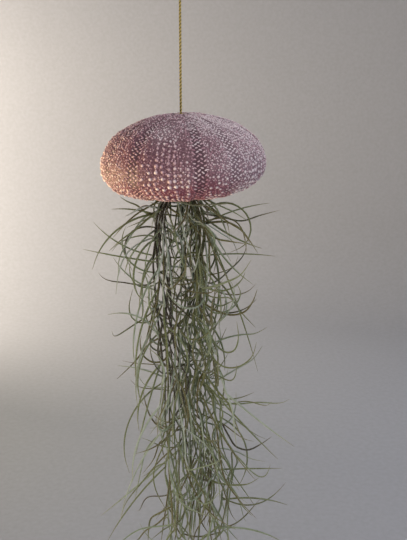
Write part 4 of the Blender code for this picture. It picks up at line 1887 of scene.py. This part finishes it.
class Leaf(NamedTuple):
    """A leaf as a bending line, which leaves its stem at the height z (in millimetres).

    heading is its bearing seen from above, in degrees from +X towards +Y, and sweep is how far
    that turns along the leaf. rise is its first slope above the horizontal in degrees, and turn is
    how far the slope turns along the leaf, down where negative. length is in millimetres. wave
    is how far the slope swings either way on top of that, up first where positive.
    """

    z: float
    heading: float
    rise: float
    turn: float
    length: float
    sweep: float = 0.0
    wave: float = 0.0


# The long leaves that stand out of the bunch, as seen from -Y
LONG_LEAVES = {
    "left": (
        Leaf(-139, 188, 22, -25, 24), Leaf(-138, 196, 0, -75, 47), Leaf(-160, 176, 8, 42, 36),
        Leaf(-169, 184, 2, 118, 34), Leaf(-163, 198, 12, 5, 40), Leaf(-179, 172, 16, 44, 29),
        Leaf(-166, 236, -30, -75, 58), Leaf(-176, 222, -48, -50, 56), Leaf(-150, 225, 0, -150, 46),
        Leaf(-192, 215, -45, -55, 52), Leaf(-201, 236, -10, -120, 48),
        Leaf(-216, 200, -40, -60, 42), Leaf(-240, 210, -35, -60, 50), Leaf(-206, 186, 78, -90, 36),
        Leaf(-226, 180, 28, -25, 26), Leaf(-228, 190, -28, -82, 62), Leaf(-214, 176, -72, -6, 60),
        Leaf(-252, 186, -50, -30, 62), Leaf(-274, 176, -46, 4, 66), Leaf(-280, 192, -42, -20, 56),
    ),
    "middle": (
        Leaf(-141, 30, -2, 52, 60), Leaf(-196, 20, -35, -60, 42), Leaf(-206, 12, -22, -105, 40),
    ),
    "right": (
        Leaf(-139, -8, 62, -232, 52), Leaf(-141, 34, 35, -25, 58), Leaf(-144, 20, 24, -22, 38),
        Leaf(-140, 6, -42, 24, 36), Leaf(-142, -12, -70, 38, 42), Leaf(-161, 10, 4, -14, 40),
        Leaf(-143, 0, -66, -9, 88), Leaf(-146, -6, -60, -60, 70), Leaf(-145, -25, -58, -125, 48),
        Leaf(-176, -10, -28, 104, 26), Leaf(-230, 4, -52, 5, 62), Leaf(-236, -10, -36, 8, 48),
        Leaf(-284, 0, 2, -2, 36), Leaf(-307, 8, 6, -32, 40), Leaf(-318, -6, 9, -46, 42),
        Leaf(-252, 14, -30, -95, 52),
    ),
}  # fmt: skip


class Rooms(NamedTuple):
    """What a line keeps clear by.

    It may touch its own strand within root of its start, and keeps own clear of it past that.
    """

    root: float = 4.5 * MM
    own: float = 0.05 * MM
    others: float = 0.48 * MM


class Clearance:
    """Remembers where stems and leaves run, so that the next one keeps clear of them."""

    CELL = 2.5 * MM
    SAMPLE = 1.0 * MM

    def __init__(self) -> None:
        """Start with empty space."""
        self.cells: dict[tuple[int, ...], list[tuple[Vector, float, str]]] = defaultdict(list)

    def cell(self, point: Vector) -> tuple[int, ...]:
        """The cell that a point lies in."""
        return tuple(math.floor(value / self.CELL) for value in point)

    def samples(self, points: Line) -> Iterator[tuple[Vector, float]]:
        """Points about a sample apart along a line, each with its distance from the start.

        Args:
            points: the line.

        Returns:
            The points and their distances, one by one.
        """
        travelled = 0.0
        for a, b in zip(points, points[1:]):
            length = (b - a).length
            count = max(1, round(length / self.SAMPLE))
            for k in range(count):
                yield a.lerp(b, k / count), travelled + length * k / count
            travelled += length
        yield points[-1], travelled

    def add(self, points: Line, radius: float, owner: str) -> None:
        """Remember a strand's line."""
        for point, _ in self.samples(points):
            self.cells[self.cell(point)].append((point, radius, owner))

    def is_free(self, points: Line, radius: float, owner: str, rooms: Rooms = Rooms()) -> bool:
        """Tell whether a line keeps clear of other strands, and past its root of its own.

        Args:
            points: the line.
            radius: its radius.
            owner: its strand's name.
            rooms: what it keeps clear by.

        Returns:
            True where it is clear.
        """
        for point, travelled in self.samples(points):
            x, y, z = self.cell(point)
            for dx, dy, dz in itertools.product((-1, 0, 1), repeat=3):
                for other, wide, its_owner in self.cells.get((x + dx, y + dy, z + dz), ()):
                    own = its_owner == owner
                    if own and travelled < rooms.root:
                        continue
                    kept = radius + wide + (rooms.own if own else rooms.others)
                    if (point - other).length_squared < kept * kept:
                        return False
        return True


@dataclass
class MossSizes:
    """The sizes that all strands share."""

    cord_diameter: float = CORD_DIAMETER
    inner_slots: tuple[float, ...] = (-30, 30)  # degrees from the group's sector
    outer_slots: tuple[float, ...] = (-45, -15, 15, 45)
    stem_radius: float = 0.62 * MM
    tip_radius: float = 0.42 * MM
    top_z: float = -111.5 * MM
    stem_step: float = 11 * MM
    tied_bottom_z: float = -119 * MM  # the stems run straight down to here
    free_top_z: float = -141 * MM  # they part out of the mouth, and hang free from here
    mouth_steps: int = 4
    upper_spread: float = 1.8  # how many times further apart a group's stems hang than tied
    lower_spread: float = 5.5  # the same at the bottom of the bunch
    spread_power: float = 1.3  # over 1, because they part more slowly at first
    twist: float = math.radians(210)  # of a group over its route
    upper_wander: float = 1.9 * MM
    lower_wander: float = 7 * MM
    wander_lengths: Pair = (30 * MM, 60 * MM)
    wander_tries: int = 400
    route_step: float = 24 * MM
    leaf_radius: float = 0.52 * MM
    fine_leaf_radius: float = 0.32 * MM
    fine_leaf_rooms: Rooms = Rooms(5 * MM, -0.1 * MM, 0.0)
    leaf_steps: int = 4
    curled_leaf_steps: int = 5
    curled_from: float = 60  # degrees of turn
    long_leaf_steps: int = 6
    crown_spacing: float = 5 * MM
    upper_spacing: float = 13 * MM
    lower_spacing: float = 18 * MM
    spacing_slack: Pair = (0.8, 1.2)
    first_leaf_z: float = -123 * MM
    first_leaf_slack: float = 5 * MM
    crown_z: float = -142 * MM  # above it leaves fan out under the mouth
    golden_angle: float = 137.5
    leaf_tries: int = 60
    heading_slack: float = 50  # degrees either side of the next leaf's bearing
    outermost: int = 3  # stems of its group that a long leaf may grow from
    turns_aside: range = range(0, 50, 6)  # degrees it may turn to find its way
    bare_tip: float = 3 * MM
    fountain_z: float = -158 * MM  # above it leaves spring out and droop
    curling_z: float = -232 * MM  # from there to here they curl, and below they hang
    curling_share: float = 0.7
    hanging_share: float = 0.7
    wave: float = 30
    front_heading: float = 270  # towards -Y
    front_share: float = 0.3  # of the upper leaves, which lie in front of the stems
    shell_room: float = 2.2 * MM
    left: float = -54 * MM
    right: float = 61 * MM
    front: float = -44 * MM
    back: float = 44 * MM
    bottom: float = -354 * MM
    leaves_top: float = -121.5 * MM  # under the tie and the end of the cord

    def holds(self, point: Vector) -> bool:
        """Whether a point lies in the space that the moss keeps to.

        Args:
            point: the point.

        Returns:
            True where it does.
        """
        return (
            self.left < point.x < self.right
            and self.front < point.y < self.back
            and self.bottom < point.z < self.leaves_top
        )

    def slots(self, sector: float) -> list[Vector]:
        """Where a group's butts stand in the tie: two beside the cord, four outside those.

        Args:
            sector: the bearing of the group's butts, in degrees.

        Returns:
            The six places.
        """
        inner = self.cord_diameter / 2 + GAP + self.stem_radius
        outer = inner + 2 * self.stem_radius + GAP
        places = [(inner, aside) for aside in self.inner_slots]
        places += [(outer, aside) for aside in self.outer_slots]
        return [
            Vector((r * math.cos(math.radians(sector + a)), r * math.sin(math.radians(sector + a))))
            for r, a in places
        ]

    def bundle_radius(self) -> float:
        """The radius of the butts bound in the tie."""
        return self.cord_diameter / 2 + 2 * GAP + 4 * self.stem_radius


class Grown(NamedTuple):
    """A leaf that has found its place: its own numbers and its middle line's points."""

    leaf: Leaf
    points: list[Vector]
    extra: bool


class Strand:
    """One stem of moss with its leaves."""

    def __init__(
        self, name: str, group: Group, number: int, draw: random.Random, sizes: MossSizes
    ) -> None:
        """Take a place in the tie and draw how the stem wanders.

        Args:
            name: its solid's name.
            group: its group.
            number: its place in the group.
            draw: where its wandering comes from.
            sizes: what all strands share.
        """
        slots = sizes.slots(group.sector)
        middle = sum(slots, Vector((0, 0))) / len(slots)
        self.name = name
        self.group = group
        self.sizes = sizes
        self.middle = middle
        self.offset = slots[number] - middle
        self.end_z = group.ends[number] * MM
        self.leaves: list[Grown] = []
        self.draw_waves(draw)

    def draw_waves(self, draw: random.Random) -> None:
        """Draw the length and the phase of two waves each way.

        Args:
            draw: where they come from.
        """
        self.waves = [
            (draw.uniform(*self.sizes.wander_lengths), draw.uniform(0, math.tau))
            for _ in range(4)
        ]

    def place(self, z: float) -> Vector:
        """The stem's middle at a height.

        Args:
            z: the height.

        Returns:
            The point.
        """
        sizes = self.sizes
        route = self.group.route
        parting = (sizes.tied_bottom_z - z) / (sizes.tied_bottom_z - sizes.free_top_z)
        parting = min(1.0, max(0.0, parting))
        below = max(0.0, sizes.free_top_z - z) / sizes.route_step
        share = below / (len(route) - 1)
        moved = parting * parting * (3 - 2 * parting)
        centre = self.middle.lerp(spline_point(route, below) * MM, moved)
        spread = 1 + (sizes.upper_spread - 1) * parting
        spread += (sizes.lower_spread - sizes.upper_spread) * share**sizes.spread_power
        turned = spread * (Matrix.Rotation(sizes.twist * share, 2) @ self.offset)
        sway = [math.sin(math.tau * z / length + phase) for length, phase in self.waves]
        wander = sizes.upper_wander + (sizes.lower_wander - sizes.upper_wander) * share
        wander *= min(1.0, below) / 2
        spot = centre + turned + wander * Vector((sway[0] + sway[1], sway[2] + sway[3]))
        return Vector((*spot, z))

    def stem_points(self) -> list[Vector]:
        """The stem's middle line from its tied butt to its tip.

        Returns:
            The points from the top down.
        """
        sizes = self.sizes
        parting = sizes.free_top_z - sizes.tied_bottom_z
        heights = [sizes.top_z]
        heights += [
            sizes.tied_bottom_z + parting * k / sizes.mouth_steps
            for k in range(sizes.mouth_steps + 1)
        ]
        count = round((sizes.free_top_z - self.end_z) / sizes.stem_step)
        heights += [
            sizes.free_top_z + (self.end_z - sizes.free_top_z) * k / count
            for k in range(1, count + 1)
        ]
        return [self.place(z) for z in heights]

    def on_stem(self, z: float) -> Vector:
        """The middle of the stem's straight-sided form at a height.

        Args:
            z: the height.

        Returns:
            The point.
        """
        points = self.stem_points()
        for above, below in zip(points, points[1:]):
            if below.z <= z:
                return above.lerp(below, (above.z - z) / (above.z - below.z))
        return points[-1]

    def reach(self, z: float, heading: float) -> float:
        """How far out this stem stands in a heading, to find the group's outermost stem.

        Args:
            z: the height.
            heading: the bearing, in degrees.

        Returns:
            The distance from the axis, or -1 below the tip.
        """
        if z < self.end_z:
            return -1.0
        angle = math.radians(heading)
        return self.on_stem(z).xy.dot(Vector((math.cos(angle), math.sin(angle))))

    def leaf_points(self, leaf: Leaf, steps: int) -> list[Vector]:
        """The leaf's middle line, from the stem's middle out to its tip.

        Args:
            leaf: its numbers.
            steps: how many straight lengths it has.

        Returns:
            The points.
        """
        points = [self.on_stem(leaf.z * MM)]
        step = leaf.length * MM / steps
        for k in range(steps):
            along = (k + 0.5) / steps
            swing = leaf.wave * math.sin(math.tau * along)
            pitch = math.radians(leaf.rise + leaf.turn * along + swing)
            bearing = math.radians(leaf.heading + leaf.sweep * along)
            level = Vector((math.cos(bearing), math.sin(bearing), 0))
            points.append(
                points[-1] + step * (math.cos(pitch) * level + Vector((0, 0, math.sin(pitch))))
            )
        return points

    def try_leaf(
        self, leaf: Leaf, steps: int, clearance: Clearance, shell: UrchinShell, extra: bool = False
    ) -> bool:
        """Grow a leaf if it stays in bounds, clear of the shell and of what is there already.

        Args:
            leaf: its numbers.
            steps: how many straight lengths its line has.
            clearance: what is there already.
            shell: the shell that it keeps clear of.
            extra: whether it is one of the fine leaves, which may grow closer together.

        Returns:
            True where it grew.
        """
        sizes = self.sizes
        points = self.leaf_points(leaf, steps)
        for point, _ in clearance.samples(points):
            if shell.holds(point, sizes.shell_room) or not sizes.holds(point):
                return False
        radius = sizes.fine_leaf_radius if extra else sizes.leaf_radius
        rooms = sizes.fine_leaf_rooms if extra else Rooms()
        if not clearance.is_free(points, radius, self.name, rooms):
            return False
        clearance.add(points, radius, self.name)
        self.leaves.append(Grown(leaf, points, extra))
        return True


@dataclass(frozen=True)
class StemForm:
    """How a stem is drawn: its thickness, tone and age."""

    sides: int = 8
    curve_step: float = 2.5 * MM
    between: float = 0.86  # of its radius, away from its leaves
    swelling: float = 0.22  # added at each leaf
    swelling_reach: float = 1.4 * MM
    tip: tuple[float, ...] = (0.85, 0.55, 0.15)  # of the radius, at its last rings
    browns_over: Pair = (-15 * MM, 35 * MM)  # heights round its group's browned_to
    tones: Pair = (0.05, 0.45)
    paler_below: float = 0.4
    age_slack: Pair = (0.8, 1.15)
    ages: Pair = (0.05, 0.97)  # its least and greatest
    along: float = 0.3  # where on a leaf the felt is like the stem's


@dataclass(frozen=True)
class LeafForm:
    """How a leaf is drawn: its thickness, tone and age."""

    sides: int = 6
    curve_steps: int = 18
    radius: float = 0.6 * MM  # at its thickest
    fine_radius: float = 0.46 * MM
    radius_slack: Pair = (0.82, 1.08)
    root: float = 0.72  # of its radius
    thickest: float = 0.15  # shares of its length from here on
    narrowing: float = 0.3
    tip: Pair = (0.6, 1.06)
    tip_power: float = 0.6
    tones: Pair = (-0.3, 1.0)
    paler_below: float = 0.25
    crown_light: Pair = (-168, -145)  # heights in millimetres over which the painted light on the leaves under the mouth rises
    long_tone: float = 0.4  # the least of a long leaf, which stands out pale
    old: float = 0.16  # the chance of an old leaf at the top of a browned group
    old_ages: Pair = (0.5, 0.9)
    young_ages: Pair = (0.0, 0.15)


@dataclass
class MossBunch:
    """The bunch of Spanish moss: eighteen stems in three groups, with all their leaves."""

    shell: UrchinShell
    sizes: MossSizes = field(default_factory=MossSizes)
    stem: StemForm = StemForm()
    leaf: LeafForm = LeafForm()
    upper_fine_spacing: float = 24 * MM
    lower_fine_spacing: float = 14 * MM
    fine_spacing_slack: Pair = (0.7, 1.3)
    fine_heading_slack: float = 70  # degrees
    fine_tries: int = 12
    fine_steps: int = 8

    def drawn_leaf(self, draw: random.Random, z: float, heading: float) -> Leaf:
        """Draw a leaf of the bunch's own mass, in the habit of its height.

        Args:
            draw: where its numbers come from.
            z: the height of its root.
            heading: its bearing, in degrees.

        Returns:
            The leaf.
        """
        sizes = self.sizes
        if z > sizes.crown_z:
            habit = Habit.CROWNING
        elif z > sizes.fountain_z:
            habit = Habit.FOUNTAIN
        elif z > sizes.curling_z and draw.random() < sizes.curling_share:
            habit = Habit.CURLING
        elif draw.random() < sizes.hanging_share:
            habit = Habit.HANGING
        else:
            habit = Habit.STRAYING
        rise, turn, length, sweep = habit.value
        side = draw.choice((-1, 1)) if turn[0] >= 0 else 1
        return Leaf(
            z / MM,
            heading,
            draw.uniform(*rise),
            side * draw.uniform(*turn),
            draw.uniform(*length),
            draw.uniform(-sweep, sweep),
            draw.uniform(-sizes.wave, sizes.wave),
        )

    def grow_long_leaves(self, strands: Sequence[Strand], clearance: Clearance) -> None:
        """Place the long leaves first, each on the outermost stem of its group.

        Args:
            strands: all strands.
            clearance: what is there already.
        """
        for group, leaves in LONG_LEAVES.items():
            members = [strand for strand in strands if strand.group is GROUPS[group]]
            for leaf in leaves:
                members.sort(key=lambda strand: -strand.reach(leaf.z * MM, leaf.heading))
                tries = [
                    (strand, leaf._replace(heading=leaf.heading + sign * aside))
                    for aside in self.sizes.turns_aside
                    for sign in (1, -1)
                    for strand in members[: self.sizes.outermost]
                ]
                for strand, turned in tries:
                    if strand.try_leaf(turned, self.sizes.long_leaf_steps, clearance, self.shell):
                        break

    def grow_bunch(
        self, strands: Sequence[Strand], clearance: Clearance, draw: random.Random
    ) -> None:
        """Fill the stems with drawn leaves, a node at a time.

        Args:
            strands: all strands.
            clearance: what is there already.
            draw: where the leaves' numbers come from.
        """
        sizes = self.sizes
        for strand in strands:
            heading = draw.uniform(0, 360)
            z = sizes.first_leaf_z - draw.random() * sizes.first_leaf_slack
            while z > strand.end_z + sizes.bare_tip:
                in_front = z > sizes.curling_z and draw.random() < sizes.front_share
                bearing = sizes.front_heading if in_front else heading
                for _ in range(sizes.leaf_tries):
                    slack = draw.uniform(-sizes.heading_slack, sizes.heading_slack)
                    leaf = self.drawn_leaf(draw, z, bearing + slack)
                    curled = abs(leaf.turn) >= sizes.curled_from
                    steps = sizes.curled_leaf_steps if curled else sizes.leaf_steps
                    if strand.try_leaf(leaf, steps, clearance, self.shell):
                        break
                heading += sizes.golden_angle
                if z > sizes.crown_z:
                    spacing = sizes.crown_spacing
                elif z > sizes.curling_z:
                    spacing = sizes.upper_spacing
                else:
                    spacing = sizes.lower_spacing
                z -= spacing * draw.uniform(*sizes.spacing_slack)

    def grow_fine_leaves(
        self, strands: Sequence[Strand], clearance: Clearance, draw: random.Random
    ) -> None:
        """Fill the room that is left with fine leaves.

        Args:
            strands: all strands.
            clearance: what is there already.
            draw: where the leaves' numbers come from.
        """
        sizes = self.sizes
        slack = self.fine_heading_slack
        for strand in strands:
            heading = draw.uniform(0, 360)
            z = sizes.first_leaf_z
            while z > strand.end_z + sizes.bare_tip:
                for _ in range(self.fine_tries):
                    leaf = self.drawn_leaf(draw, z, heading + draw.uniform(-slack, slack))
                    if strand.try_leaf(
                        leaf, self.fine_steps, clearance, self.shell, extra=True
                    ):
                        break
                heading += sizes.golden_angle
                upper = z > sizes.curling_z
                spacing = self.upper_fine_spacing if upper else self.lower_fine_spacing
                z -= spacing * draw.uniform(*self.fine_spacing_slack)

    def grow(self) -> list[Strand]:
        """Grow all strands clear of each other, in the same order as their solids.

        Returns:
            The strands with their leaves.
        """
        draw = random.Random(MOSS_SEED)
        clearance = Clearance()
        strands = [
            Strand(f"moss_{name}_{number + 1}", group, number, draw, self.sizes)
            for name, group in GROUPS.items()
            for number in range(len(group.ends))
        ]
        for strand in strands:
            for _ in range(self.sizes.wander_tries):
                hanging = [
                    point for point in strand.stem_points() if point.z <= self.sizes.free_top_z
                ]
                if clearance.is_free(hanging, self.sizes.stem_radius, strand.name):
                    break
                strand.draw_waves(draw)
            else:
                log.info("no free way for %s", strand.name)
            clearance.add(strand.stem_points(), self.sizes.stem_radius, strand.name)
        self.grow_long_leaves(strands, clearance)
        self.grow_bunch(strands, clearance, draw)
        self.grow_fine_leaves(strands, clearance, random.Random(FINE_SEED))
        return strands

    def add_stem(self, patch: Patchwork, strand: Strand, draw: random.Random) -> None:
        """Add a strand's stem, swollen where its leaves leave it.

        Args:
            patch: what gathers the faces.
            strand: the strand.
            draw: where its tone comes from.
        """
        form, look = self.stem, strand.group.look
        line = evenly_along(drawn_finely(strand.stem_points(), 8), form.curve_step)
        share = np.linspace(0, 1, len(line))
        radii = self.sizes.stem_radius + share * (self.sizes.tip_radius - self.sizes.stem_radius)
        roots = np.array([grown.leaf.z * MM for grown in strand.leaves])
        heights = np.array([point.z for point in line])
        nearest = np.abs(heights[:, None] - roots[None]).min(axis=1)
        swollen = np.exp(-((nearest / form.swelling_reach) ** 2))
        radii = radii * (form.between + form.swelling * swollen)
        radii[-len(form.tip) :] *= form.tip
        green, brown = (look.browned_to + aside for aside in form.browns_over)
        age = look.browned * smoothstep(heights, green, brown)
        tone = draw.uniform(*form.tones) + form.paler_below * self.depth(heights) + look.silvered
        patch.add_tube(
            line,
            radii,
            form.sides,
            tone=np.clip(tone, 0, 1),
            age=np.clip(age * draw.uniform(*form.age_slack), *form.ages),
            along=form.along,
        )

    def depth(self, z: Any) -> Any:
        """How far down the bunch a height is, from 0 to 1."""
        return (self.sizes.free_top_z - z) / (self.sizes.free_top_z - self.sizes.bottom)

    def add_leaf(
        self, patch: Patchwork, strand: Strand, grown: Grown, draw: random.Random
    ) -> None:
        """Add a leaf, thickest past its root and drawn out to a fine tip.

        Args:
            patch: what gathers the faces.
            strand: its strand.
            grown: the leaf and its line.
            draw: where its tone, age and thickness come from.
        """
        form, look = self.leaf, strand.group.look
        knots = grown.points
        steps = form.curve_steps
        line = [spline_point(knots, (len(knots) - 1) * k / steps) for k in range(steps + 1)]
        share = np.linspace(0, 1, steps + 1)
        radius = form.fine_radius if grown.extra else form.radius
        thickening = form.root + (1 - form.root) * smoothstep(share, 0.0, form.thickest)
        radii = radius * draw.uniform(*form.radius_slack) * thickening
        radii = radii * (1 - form.narrowing * share)
        radii = radii * (1 - smoothstep(share, *form.tip)) ** form.tip_power
        depth = self.depth(grown.leaf.z * MM)
        stands_out = len(knots) == self.sizes.long_leaf_steps + 1
        old = draw.random() < form.old * look.browned * (1 - depth) and not stands_out
        tone = draw.uniform(*form.tones) + form.paler_below * depth + look.silvered
        # painted light: leaves under the mouth are made paler
        tone += look.crown_light * smoothstep(grown.leaf.z, *form.crown_light)
        if stands_out:
            tone = max(tone, form.long_tone)
        patch.add_tube(
            line,
            radii,
            form.sides,
            tone=min(1.0, max(0.0, tone)),
            age=draw.uniform(*(form.old_ages if old else form.young_ages)),
            along=share,
        )

    def build(self) -> None:
        """Make one piece for each strand."""
        felt = SpanishMoss().make()
        draw = random.Random(FINE_SEED + 1)
        leaves = 0
        for strand in self.grow():
            patch = Patchwork()
            self.add_stem(patch, strand, draw)
            for grown in strand.leaves:
                self.add_leaf(patch, strand, grown, draw)
            leaves += len(strand.leaves)
            piece = patch.make(f"{strand.name}_dressed", felt)
            place_piece(piece, "moss", strand.name)
        log.info("moss: %d leaves", leaves)


# -------- the whole object


def main() -> None:
    """Build the studio and the object's pieces in order."""
    logging.basicConfig(level=logging.INFO, format="%(message)s")
    Studio().build()
    bead = StopperBead()
    HangingCord().build(bead.bottom_z)
    bead.build()
    shell = UrchinShell()
    shell.build()
    moss = MossBunch(shell)
    MossTie().build(moss.sizes.bundle_radius())
    moss.build()


if __name__ == "__main__":
    main()
